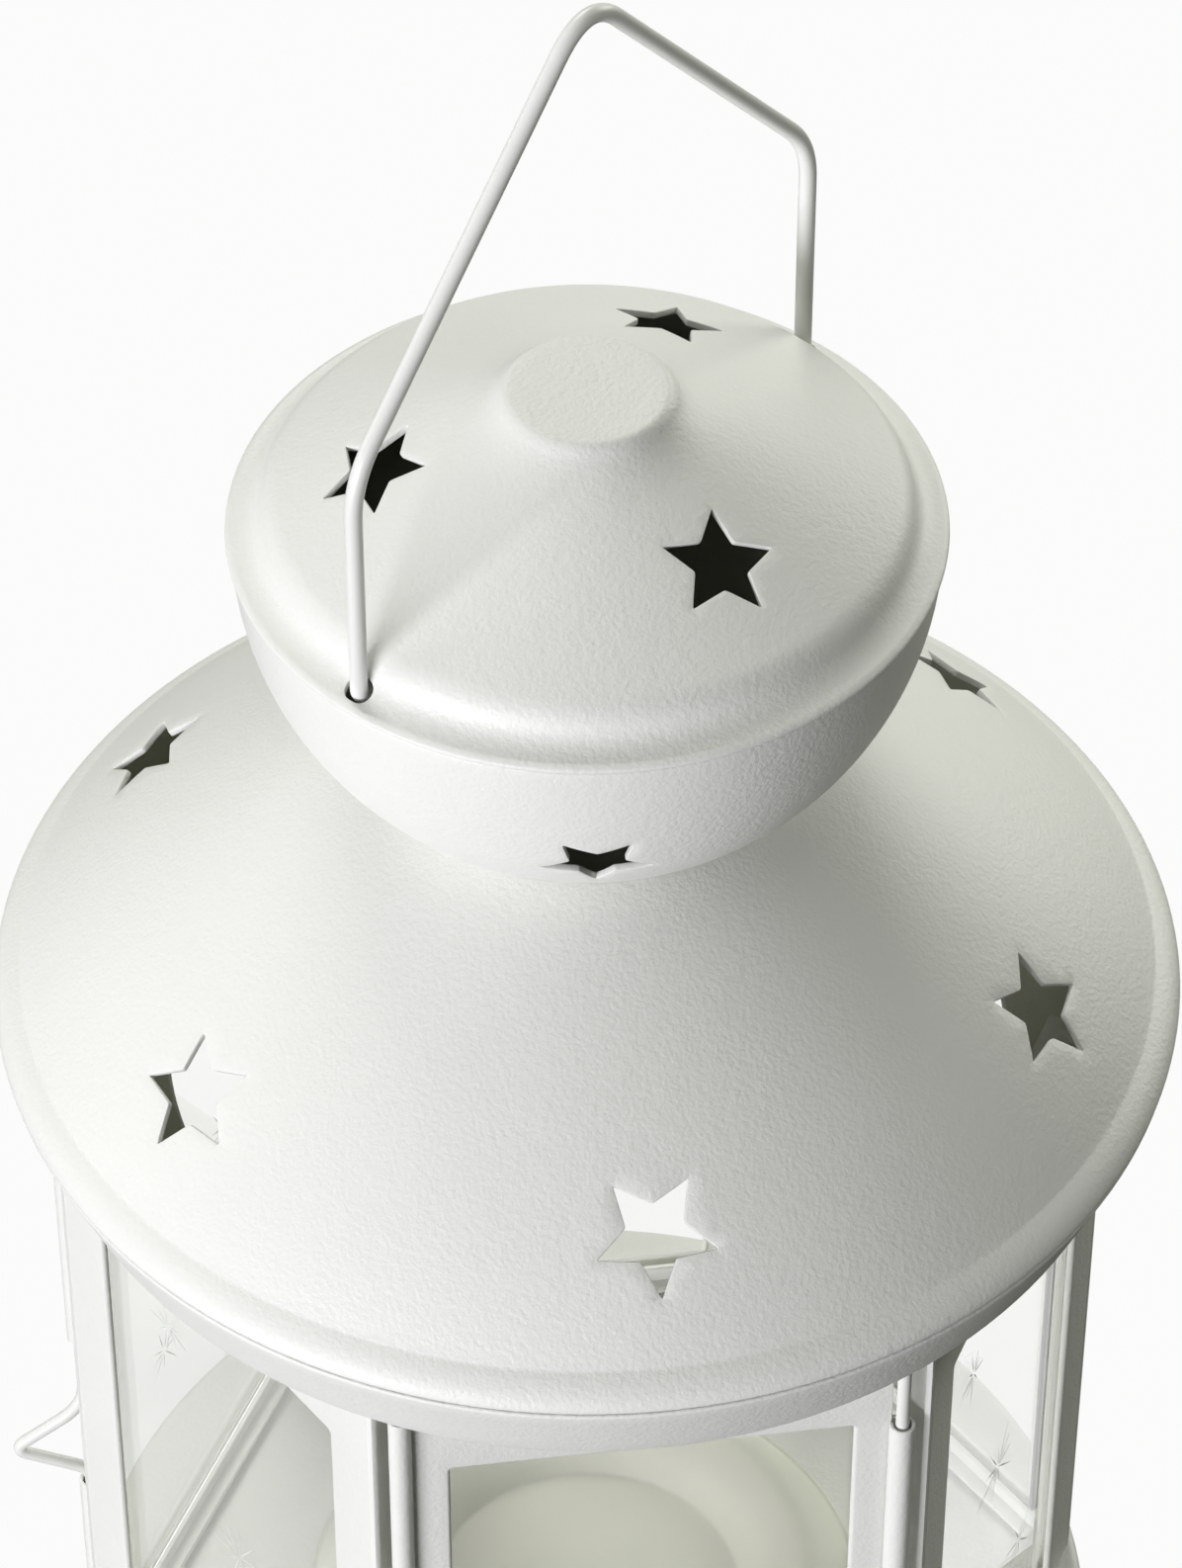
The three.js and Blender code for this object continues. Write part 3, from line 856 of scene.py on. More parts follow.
def sheet_place(sheet: SpunSheet, radius: float) -> tuple[Vector, Vector]:
    """Finds where a sheet that runs inwards has a radius.

    Args:
        sheet: The sheet.
        radius: The radius.

    Returns:
        The point there and the way down the sheet, as radius and height.
    """
    for outer, inner in zip(sheet.outline, sheet.outline[1:]):
        if outer.x >= radius > inner.x:
            share = (outer.x - radius) / (outer.x - inner.x)
            return outer.lerp(inner, share), (outer - inner).normalized()
    raise ValueError(f"the sheet has no radius {radius}")


def ring_of(spot: Vector, down: Vector, ring: Ring, angles: Iterable[float]) -> list[Opening]:
    """Repeats an opening round a sheet.

    Args:
        spot: Its radius and height.
        down: The way down the sheet there.
        ring: Its outline.
        angles: The angles that it lies at.

    Returns:
        The openings.
    """
    made = []
    for angle in angles:
        out = bearing(angle).to_3d()
        middle, slope = (out * pair.x + Vector((0, 0, pair.y)) for pair in (spot, down))
        made.append(Opening(middle, slope, Vector((-out.y, out.x, 0)), ring))
    return made


def star_ring(sheet: SpunSheet, radius: float, star: Star, angles: Iterable[float]) -> list[Opening]:
    """Returns a ring of star vents on a sheet that runs inwards."""
    return ring_of(*sheet_place(sheet, radius), star.ring(), angles)


def star_angles(count: int, turn: float) -> list[float]:
    """Returns the angles of a ring of stars, turned from the front."""
    return [turn - math.pi / 2 + i * FULL_TURN / count for i in range(count)]


# Wires and rolled or pressed strips


def bent_line(points: Sequence[Vector], bends: Sequence[float], steps: int = 10) -> list[Vector]:
    """Follows straight arms with round bends between them.

    Args:
        points: The ends and the corners.
        bends: The length that each corner takes from its two arms.
        steps: How many stretches a bend has.

    Returns:
        The points along the line.
    """
    made = [points[0].copy()]
    for before, corner, after, bend in zip(points, points[1:], points[2:], bends):
        start, end = (corner + (other - corner).normalized() * bend for other in (before, after))
        made += quadratic(start, corner, end, steps)
    made.append(points[-1].copy())
    return made


def round_wire(line: Sequence[Vector], radius: float, sides: int = 20, step: float = 3.0) -> Shell:
    """Builds a round wire with softened ends along a line.

    Args:
        line: The wire's middle line, in millimetres.
        radius: Its radius.
        sides: The points round it.
        step: The longest stretch between two rings.

    Returns:
        The closed shell.
    """
    points, soft = divided(line, step), END_SOFTENING * radius
    first, last = (points[1] - points[0]).normalized(), (points[-1] - points[-2]).normalized()
    part = ROUNDING_SHARE * soft
    end = [(0.0, radius - soft), (part, radius - part), (soft, radius)]
    stops = [(points[0] + first * reach, size) for reach, size in end]
    stops += [(p, radius) for p in points[1:-1]]
    stops += [(points[-1] - last * reach, size) for reach, size in reversed(end)]
    made, rings = Shell(), []
    across = first.orthogonal().normalized()
    for i, (middle, size) in enumerate(stops):
        ahead = (stops[min(i + 1, len(stops) - 1)][0] - stops[max(i - 1, 0)][0]).normalized()
        across = (across - ahead * across.dot(ahead)).normalized()
        up = ahead.cross(across)
        ring = []
        for k in range(sides):
            way = bearing(FULL_TURN * k / sides)
            ring.append(made.add_point(middle + size * (across * way.x + up * way.y)))
        rings.append(ring)
    made.bridge(*rings)
    made.add_face(reversed(rings[0]))
    made.add_face(rings[-1])
    return made


def drawn_strip(
    section: Sequence[Vector], thickness: float, height: Span, edge: float = 0.12
) -> Shell:
    """Builds an upright strip of sheet with a bent section and softened ends.

    Args:
        section: The strip's middle line, seen from above.
        thickness: The sheet's thickness.
        height: Its lower and upper end.
        edge: How much its ends are softened.

    Returns:
        The closed shell.
    """
    sides = side_normals(section)
    first, last = (section[1] - section[0]).normalized(), (section[-1] - section[-2]).normalized()

    def outline(inset: float) -> list[Vector]:
        """Returns the section's closed outline, drawn in by a distance."""
        half = thickness / 2 - inset
        flanks = []
        for way in (-1, 1):
            flank = [p + s * (way * half) for p, s in zip(section, sides)]
            flank[0], flank[-1] = flank[0] + first * inset, flank[-1] - last * inset
            flanks.append(flank)
        return [*flanks[0], *reversed(flanks[1])]

    made = Shell()
    stops = [(height[0], edge), (height[0] + edge, 0), (height[1] - edge, 0), (height[1], edge)]
    rings = [[made.add_point(level(p.x, p.y, z)) for p in outline(inset)] for z, inset in stops]
    made.bridge(*rings)
    for ring, way in ((rings[0], -1), (rings[-1], 1)):
        for i in range(len(section) - 1):
            quad = (ring[i], ring[i + 1], ring[-2 - i], ring[-1 - i])
            made.add_face(quad[::way])
    return made


def soft_block(x: Span, depth: Span, z: Span, edge: float) -> Shell:
    """Builds a block with chamfered edges.

    Args:
        x: Its ends along the face.
        depth: Its ends across the face.
        z: Its ends upwards.
        edge: The chamfer.

    Returns:
        The closed shell.
    """
    made, spans = Shell(), (x, depth, z)
    numbers: dict[tuple[int, ...], int] = {}

    def number(axis: int, ends: dict[int, int]) -> int:
        """Returns the number of a corner's point on the side across an axis."""
        return numbers[ends[0], ends[1], ends[2], axis]

    for corner in product((0, 1), repeat=3):
        for axis in range(3):
            point = []
            for k in range(3):
                inward = 0 if k == axis else edge
                point.append(spans[k][corner[k]] + (inward if corner[k] == 0 else -inward))
            numbers[(*corner, axis)] = made.add_point(Vector(point))
        made.add_face(numbers[(*corner, axis)] for axis in range(3))
    for axis in range(3):
        u, v = (k for k in range(3) if k != axis)
        for end in (0, 1):
            square = ((0, 0), (1, 0), (1, 1), (0, 1))
            made.add_face([number(axis, {axis: end, u: a, v: b}) for a, b in square])
        for a, b in product((0, 1), repeat=2):
            low, high = {axis: 0, u: a, v: b}, {axis: 1, u: a, v: b}
            made.add_face((number(u, low), number(v, low), number(v, high), number(u, high)))
    return made


# Sizes that pieces share, in millimetres


@dataclass(frozen=True)
class Stock:
    """Thicknesses and clearances."""

    sheet: float = 0.8
    glass: float = 1.6
    fit: float = 0.3
    pin_radius: float = 0.6
    latch_radius: float = 0.8
    handle_radius: float = 1.0
    roll_wall: float = 0.42


STOCK = Stock()
HALF_SHEET = STOCK.sheet / 2


@dataclass(frozen=True)
class Levels:
    """Heights of the main seams, read from the frame."""

    floor: float
    flange: float
    roof_top: float

    @classmethod
    def from_frame(cls) -> "Levels":
        """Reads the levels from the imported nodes."""
        floor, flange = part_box("base_tray")[1].z / MM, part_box("roof_collar")[0].z / MM
        return cls(floor, flange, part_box("roof")[1].z / MM)


LEVELS = Levels.from_frame()


@dataclass(frozen=True)
class Hexagon:
    """The six-sided body's plan."""

    apothem: float = 55.75
    lean: float = math.pi / len(Face)

    @property
    def half_side(self) -> float:
        """Half the length of a face."""
        return self.apothem * math.tan(self.lean)

    @property
    def corner(self) -> float:
        """The radius of the corners."""
        return self.apothem / math.cos(self.lean)


HEXAGON = Hexagon()


@dataclass(frozen=True)
class Openwork:
    """Places where frames' tabs, hinge pins and latch ends meet the floor and the flange."""

    tab_half: float = 4.0
    tab_offset: float = 18.0
    bead_inset: float = 3.0

    def slots(self, height: float, upward: bool) -> list[Opening]:
        """Returns the tab slots and pin holes through a level sheet.

        Args:
            height: The sheet's outer face.
            upward: True if that face looks up.

        Returns:
            The openings.
        """
        radius = STOCK.pin_radius + STOCK.fit
        hole = stadium(radius, radius * ALMOST_ROUND)
        slot = box_ring(HALF_SHEET + STOCK.fit, self.tab_half + STOCK.fit)
        pin_place = (self.bead_inset - HEXAGON.half_side, STOCK.sheet - radius - STOCK.roll_wall, hole)
        tab_places = [(side * self.tab_offset, HALF_SHEET, slot) for side in (-1, 1)]
        made = []
        for face in Face:
            out = (face.turn @ Vector((0, -1, 0))).normalized()
            for x, depth, ring in [pin_place] if face.is_door else tab_places:
                middle = face.turn @ Vector((x, depth - HEXAGON.apothem, height))
                made.append(Opening(middle, out if upward else -out, Vector((-out.y, out.x, 0)), ring))
        return made


OPENWORK = Openwork()


# Base and dish


@dataclass(frozen=True)
class Foot:
    """The upturned pan that the body stands on, and the dish for the tealight."""

    margin: float = 0.9
    edge: float = 1.5
    foot_width: float = 7.5
    pan_bend: float = 0.6
    well_radius: float = 20.0
    well_slope: float = 8.0
    dish_slope: float = 7.0
    dish_crest: float = 5.2
    dish_bend: float = 1.4
    step: float = 3.0

    def pan(self) -> SpunSheet:
        """Returns the base's sheet."""
        radius, floor = HEXAGON.corner + self.margin, LEVELS.floor
        outline = Outline(radius - self.foot_width, 0).line(radius, 0).line(radius, floor - self.edge)
        outline.curve(Vector((radius, floor)), Vector((radius - self.edge, floor))).line(0, floor)
        points = outline.finished(self.pan_bend, self.step, (HALF_SHEET, 0))
        return SpunSheet(points, STOCK.sheet, OPENWORK.slots(floor, True))

    def dish(self) -> SpunSheet:
        """Returns the dish's sheet."""
        well = LEVELS.floor + STOCK.fit + STOCK.sheet
        crest, crest_radius = well + self.dish_crest, self.well_radius + self.well_slope
        edge = crest_radius + self.dish_slope
        outline = Outline(edge + STOCK.sheet, well).line(edge, well)
        turn = Vector((crest_radius + self.dish_slope / 2, crest))
        outline.curve(turn, Vector((crest_radius, crest)), steps=14)
        turn = Vector((self.well_radius + self.well_slope / 2, crest))
        outline.curve(turn, Vector((self.well_radius, well)), steps=14).line(0, well)
        return SpunSheet(outline.finished(self.dish_bend, self.step, (HALF_SHEET, 0)), STOCK.sheet)

    def build(self) -> None:
        """Builds both pieces and dresses them."""
        place_sheet("base_pan", self.pan(), (POWDER, POWDER), "base_tray")
        # The dish takes the darker liner: painted shade for the shade on the lantern's floor.
        place_sheet("tealight_dish", self.dish(), (PAINTED_SHADE_LINER, PAINTED_SHADE_LINER), "candle_dish")


# Collar and roof


@dataclass(frozen=True)
class Roof:
    """The flared collar over the body and the star-pierced cone on it."""

    collar_margin: float = 0.9
    collar_flare: float = 4.65
    collar_flange: float = 15.3
    collar_bend: float = 1.0
    overhang: float = 0.15
    rim_turn: float = 1.9
    rim_roll: Span = (3.15, 3.65)
    rise: float = 36.9
    seat: float = 3.4
    swell: Span = (0.648, 0.545)
    cone_bend: float = 0.7
    neck_radius: float = 17.3
    star_radius: float = 56.3
    star: Star = Star(7.2)
    star_count: int = 6
    step: float = 2.2

    def collar(self) -> SpunSheet:
        """Returns the collar's sheet."""
        radius = HEXAGON.corner + self.collar_margin
        outline = Outline(radius - self.collar_flange, LEVELS.flange).line(radius, LEVELS.flange)
        flared_top = LEVELS.roof_top - self.rise - HALF_SHEET - STOCK.fit
        outline.line(radius + self.collar_flare, flared_top)
        points = outline.finished(self.collar_bend, self.step, (HALF_SHEET, HALF_SHEET))
        return SpunSheet(points, STOCK.sheet, OPENWORK.slots(LEVELS.flange, False))

    def cone(self) -> SpunSheet:
        """Returns the roof's sheet."""
        rim_radius = HEXAGON.corner + self.collar_margin + self.collar_flare + self.overhang
        top_z, rim_z = LEVELS.roof_top, LEVELS.roof_top - self.rise
        foot = Vector((rim_radius - self.rim_roll[0], rim_z + self.rim_roll[1]))
        top = Vector((self.neck_radius + STOCK.fit + self.seat, top_z))
        across, up = self.swell
        swell = Vector((top.x + (foot.x - top.x) * across, foot.y + (top.y - foot.y) * up))
        outline = Outline(rim_radius, rim_z)
        outline.curve(Vector((rim_radius, rim_z + self.rim_turn)), foot, steps=12)
        outline.curve(swell, top, steps=28).line(self.neck_radius + STOCK.fit, top_z)
        points = outline.finished(self.cone_bend, self.step, (HALF_SHEET, HALF_SHEET))
        sheet = SpunSheet(points, STOCK.sheet)
        sheet.openings = star_ring(sheet, self.star_radius, self.star, star_angles(self.star_count, 0))
        return sheet

    def build(self) -> None:
        """Builds both pieces and dresses them."""
        # Both insides take the darker liner: painted shade for the shade under the roof.
        place_sheet("flared_collar", self.collar(), (POWDER, PAINTED_SHADE_LINER), "roof_collar")
        place_sheet("pierced_roof", self.cone(), (POWDER, PAINTED_SHADE_LINER), "roof")


# Cap


@dataclass(frozen=True)
class Cap:
    """The bowl on the roof's neck and the lid with its flat knob."""

    neck_radius: float = Roof.neck_radius
    neck_lip: float = 2.6
    bowl_radius: float = 39.6
    bowl_bend: float = 0.9
    overhang: float = 0.7
    edge: Span = (0.8, 0.5)
    flare: Span = (3.3, 0.8)
    fall: Span = (4.0, 3.0)
    shoulder: Span = (6.3, 5.42)
    shoulder_turn: float = 1.6
    slope: float = 0.48
    rise: float = 19.2
    lid_bend: float = 0.7
    knob_radius: float = 9.1
    knob_flare: float = 6.2
    knob_edge: float = 0.7
    bowl_star: Star = Star(6.6)
    lid_star: Star = Star(6.6, spin=math.radians(9))
    star_count: int = 3
    lid_star_radius: float = 23.5
    lid_star_turn: float = math.radians(30)
    bowl_star_dip: float = math.radians(27)
    bowl_star_turn: float = math.radians(-6)
    handle_inset: float = 2.7
    handle_turn: float = math.radians(41.5)
    handle_slot: float = 1.65
    step: float = 1.6

    @property
    def floor_dip(self) -> float:
        """The angle from the bowl's middle down to the edge of its flat floor."""
        return math.acos((self.neck_radius + 2 * self.neck_lip + STOCK.sheet) / self.bowl_radius)

    @property
    def bowl_edge(self) -> float:
        """The height of the bowl's edge, level with its middle."""
        return LEVELS.roof_top + STOCK.fit + self.bowl_radius * math.sin(self.floor_dip)

    @property
    def handle_half(self) -> float:
        """The distance of the handle's legs from the axis."""
        return self.bowl_radius + self.overhang - self.handle_inset

    def bowl(self) -> SpunSheet:
        """Returns the bowl's sheet."""
        neck, low = self.neck_radius, LEVELS.roof_top - STOCK.sheet - STOCK.fit
        middle = Vector((0, self.bowl_edge))
        outline = Outline(neck + self.neck_lip, low).line(neck, low)
        outline.line(neck, LEVELS.roof_top + STOCK.fit)
        outline.arc(middle, self.bowl_radius, (-self.floor_dip, 0))
        points = outline.finished(self.bowl_bend, self.step, (HALF_SHEET, HALF_SHEET))
        out = bearing(-self.bowl_star_dip)
        angles = star_angles(self.star_count, self.bowl_star_turn)
        stars = ring_of(
            middle + self.bowl_radius * out, Vector((out.y, -out.x)), self.bowl_star.ring(), angles
        )
        return SpunSheet(points, STOCK.sheet, stars)

    def lid(self) -> SpunSheet:
        """Returns the lid's sheet."""
        radius, low = self.bowl_radius + self.overhang, self.bowl_edge + STOCK.sheet
        spots = (self.edge, self.flare, self.fall, self.shoulder)
        edge, flare, fall, foot = (Vector((radius - inset, low + rise)) for inset, rise in spots)

        def on_cone(r: float) -> Vector:
            """Returns the cone's point at a radius."""
            return Vector((r, foot.y + self.slope * (foot.x - r)))

        knob_z = low + self.rise
        outline = Outline(radius, low).line(edge.x, edge.y).curve(flare, fall, steps=12)
        outline.curve(on_cone(foot.x + self.shoulder_turn), foot, steps=12)
        outline.line(*on_cone(self.knob_radius + self.knob_flare))
        crown = Vector((self.knob_radius + self.knob_edge, knob_z - self.knob_edge))
        outline.curve(on_cone(self.knob_radius + self.knob_flare / 3), crown, steps=14)
        outline.line(self.knob_radius, knob_z).line(0, knob_z)
        points = outline.finished(self.lid_bend, self.step, (HALF_SHEET, 0))
        sheet = SpunSheet(points, STOCK.sheet)
        spot, down = sheet_place(sheet, self.handle_half)
        hole = stadium(self.handle_slot, STOCK.handle_radius + STOCK.fit)
        slot = tuple((x / abs(down.x), y) for x, y in hole)
        slots = ring_of(spot, down, slot, (self.handle_turn, self.handle_turn + math.pi))
        angles = star_angles(self.star_count, self.lid_star_turn)
        sheet.openings = slots + star_ring(sheet, self.lid_star_radius, self.lid_star, angles)
        return sheet

    def build(self) -> None:
        """Builds both pieces and dresses them."""
        # Both insides take the dark inner finish: painted shade for the shade in the closed cap.
        place_sheet("round_bowl", self.bowl(), (POWDER, PAINTED_SHADE_INNER), "cap_bowl")
        place_sheet("knobbed_lid", self.lid(), (POWDER, PAINTED_SHADE_INNER), "cap_lid")


@dataclass(frozen=True)
class BailHandle:
    """The bent wire that the lantern is carried by."""

    leg: float = 29.5
    peak: float = 41.6
    hook: float = 6.0
    hook_drop: float = 1.2
    bends: tuple[float, ...] = (1.6, 5.0, 7.0, 5.0, 1.6)

    def build(self) -> None:
        """Builds the handle and dresses it."""
        joint = next(j for j in frame["joints"] if j["name"] == "handle_swing")
        pivot_z, half = joint["pos_m"][2] / MM, Cap().handle_half
        low, bend = pivot_z - self.hook_drop, pivot_z + self.leg
        side = ((half - self.hook, low), (half, low), (half, bend))
        stops = [*((-x, z) for x, z in side), (0, bend + self.peak), *reversed(side)]
        line = bent_line([Vector((x, 0, z)) for x, z in stops], self.bends, steps=14)
        turn = Matrix.Rotation(Cap().handle_turn, 4, "Z")
        mesh = round_wire(line, STOCK.handle_radius, sides=24).mesh("bail_wire", turn)
        place("bail_wire", mesh, Body.HANDLE.value, Slot.WIRE, (WIRE,), "bail_handle")


# Doors and windows


@dataclass(frozen=True)
class Pressing:
    """Sizes that every frame and pane shares."""

    stile: float = 8.75
    top_rail: float = 11.2
    sill: float = 3.5
    lip_depth: float = 1.0
    return_depth: float = 5.75
    return_start: float = 0.2
    corner_gap: float = 0.3
    jamb: float = 5.5
    jamb_start: float = 0.15
    pane_lap: float = 2.0
    clip_half: float = 4.0
    clip_offset: float = 12.0
    clip_reach: float = 1.6
    tab_reach: float = 4.2
    tab_inset: float = 0.01
    hold_inset: float = 0.02
    door_gap: float = 0.8
    plate_corner: float = 0.5
    window_corner: float = 0.5
    bend: float = 0.5
    bend_steps: int = 6
    edge: float = 0.15

    @property
    def window_x(self) -> Span:
        """The window's ends along the face."""
        return around(0, HEXAGON.half_side - self.stile)

    @property
    def window_z(self) -> Span:
        """The window's sill and head."""
        return LEVELS.floor + self.sill, LEVELS.flange - self.top_rail

    @property
    def pane_depth(self) -> Span:
        """The pane's front and back."""
        front = self.lip_depth + STOCK.fit
        return front, front + STOCK.glass


PRESSING = Pressing()


def face_block(x: Span, depth: Span, z: Span, edge: float = PRESSING.edge) -> Shell:
    """Builds a chamfered block in the front face's frame, with depth counted inwards."""
    return soft_block(x, (depth[0] - HEXAGON.apothem, depth[1] - HEXAGON.apothem), z, edge)


def rounded_box(x: Span, z: Span, radius: float, steps: int = 5) -> list[Vector]:
    """Returns a rectangle's outline with round corners, anticlockwise.

    Args:
        x: Its ends along the face.
        z: Its ends upwards.
        radius: The corners' radius.
        steps: The stretches of each corner.

    Returns:
        The points.
    """
    inner_x, inner_z = grown(x, -radius), grown(z, -radius)
    made = []
    for corner, (a, b) in enumerate(((1, 0), (1, 1), (0, 1), (0, 0)), -1):
        middle = Vector((inner_x[a], inner_z[b]))
        angles = [FULL_TURN / 4 * (corner + i / steps) for i in range(steps + 1)]
        made += [middle + radius * bearing(angle) for angle in angles]
    return made


def pressed_plate(x: Span, z: Span) -> Shell:
    """Builds a frame's plate with the window's lip turned in.

    Args:
        x: The plate's ends along the face.
        z: Its ends upwards.

    Returns:
        The closed shell.
    """
    p, sheet = PRESSING, STOCK.sheet
    made, rings = Shell(), []

    def ring(outline: list[Vector], depth: float) -> None:
        """Adds a ring of points at a depth."""
        y = depth - HEXAGON.apothem
        rings.append([made.add_point(level(spot.x, y, spot.y)) for spot in outline])

    def border(inset: float, depth: float) -> None:
        """Adds a ring along the plate's border."""
        corner = max(p.edge, p.plate_corner - inset)
        ring(rounded_box(grown(x, -inset), grown(z, -inset), corner), depth)

    def window(outset: float, depth: float) -> None:
        """Adds a ring along the window."""
        span = (grown(p.window_x, outset), grown(p.window_z, outset))
        ring(rounded_box(*span, p.window_corner + outset), depth)

    part = ROUNDING_SHARE * p.edge
    for inset, depth in ((0, p.edge), (part, part), (p.edge, 0)):
        border(inset, depth)
    shares = [i / p.bend_steps for i in range(p.bend_steps + 1)]
    for share in shares:
        angle = math.pi / 2 * share
        window(p.bend * (1 - math.sin(angle)), p.bend * (1 - math.cos(angle)))
    fold = math.pi - math.asin((sheet - p.lip_depth + HALF_SHEET) / HALF_SHEET)
    for share in shares:
        back = HALF_SHEET * (1 - math.sin(fold * share))
        window(HALF_SHEET * (1 - math.cos(fold * share)), p.lip_depth - back)
    for inset, depth in ((p.edge, 0), (part, part), (0, p.edge)):
        border(inset, sheet - depth)
    made.bridge(*rings, rings[0])
    return made


def frame_fittings(z: Span) -> list[Shell]:
    """Builds the returns at a frame's top and bottom, and what holds its pane from behind.

    Args:
        z: The frame's ends upwards.

    Returns:
        The closed shells.
    """
    p, sheet = PRESSING, STOCK.sheet
    half = HEXAGON.half_side - p.return_depth * math.tan(HEXAGON.lean) - OPENWORK.bead_inset / 2
    hold = p.pane_depth[1] + STOCK.fit
    depth, inset = (hold, hold + sheet), p.hold_inset
    made = []
    for span in ((z[0], z[0] + sheet), (z[1] - sheet, z[1])):
        made.append(face_block(around(0, half), (p.return_start, p.return_depth), span))
    made.append(face_block(around(0, half - inset), depth, (z[0] + inset, p.window_z[0])))
    clip_z = (p.window_z[1] + p.pane_lap - p.clip_reach, z[1] - inset)
    for middle in (-p.clip_offset, p.clip_offset):
        made.append(face_block(around(middle, p.clip_half), depth, clip_z))
    return made


@dataclass(frozen=True)
class FixedWindow:
    """A glazed frame that is tabbed into the base and the collar."""

    def height(self) -> Span:
        """Returns the frame's ends upwards."""
        return LEVELS.floor + STOCK.fit, LEVELS.flange - STOCK.fit

    def jamb(self, side: int) -> Shell:
        """Builds the jamb turned in along one of the body's corners."""
        p, lean = PRESSING, HEXAGON.lean
        edge = HEXAGON.half_side - p.corner_gap
        foot = Vector((side * (edge - HALF_SHEET / math.cos(lean)), -HEXAGON.apothem + p.jamb_start))
        inward = Vector((-side * math.sin(lean), math.cos(lean)))
        return drawn_strip([foot, foot + inward * (p.jamb - p.jamb_start)], STOCK.sheet, self.height())

    def tabs(self) -> list[Shell]:
        """Builds the tabs bent over the flange and under the floor."""
        p, sheet, gap = PRESSING, STOCK.sheet, STOCK.fit
        low, high = self.height()
        above, below = LEVELS.flange + sheet + gap, LEVELS.floor - sheet - gap
        upright, bent = (0, sheet), (p.tab_inset, sheet + p.tab_reach)
        made = []
        for middle in (-OPENWORK.tab_offset, OPENWORK.tab_offset):
            x = around(middle, OPENWORK.tab_half)
            made.append(face_block(x, upright, (high - sheet, above + sheet)))
            made.append(face_block(x, bent, (above, above + sheet)))
            made.append(face_block(x, upright, (below - sheet, low + sheet)))
            made.append(face_block(x, bent, (below - sheet, below)))
        return made

    def mesh(self) -> Mesh:
        """Builds the frame in the front face's place."""
        z = self.height()
        plate = pressed_plate(around(0, HEXAGON.half_side - PRESSING.corner_gap), z)
        shells = [plate, *frame_fittings(z), self.jamb(-1), self.jamb(1), *self.tabs()]
        return united(shells, "window_pressing")


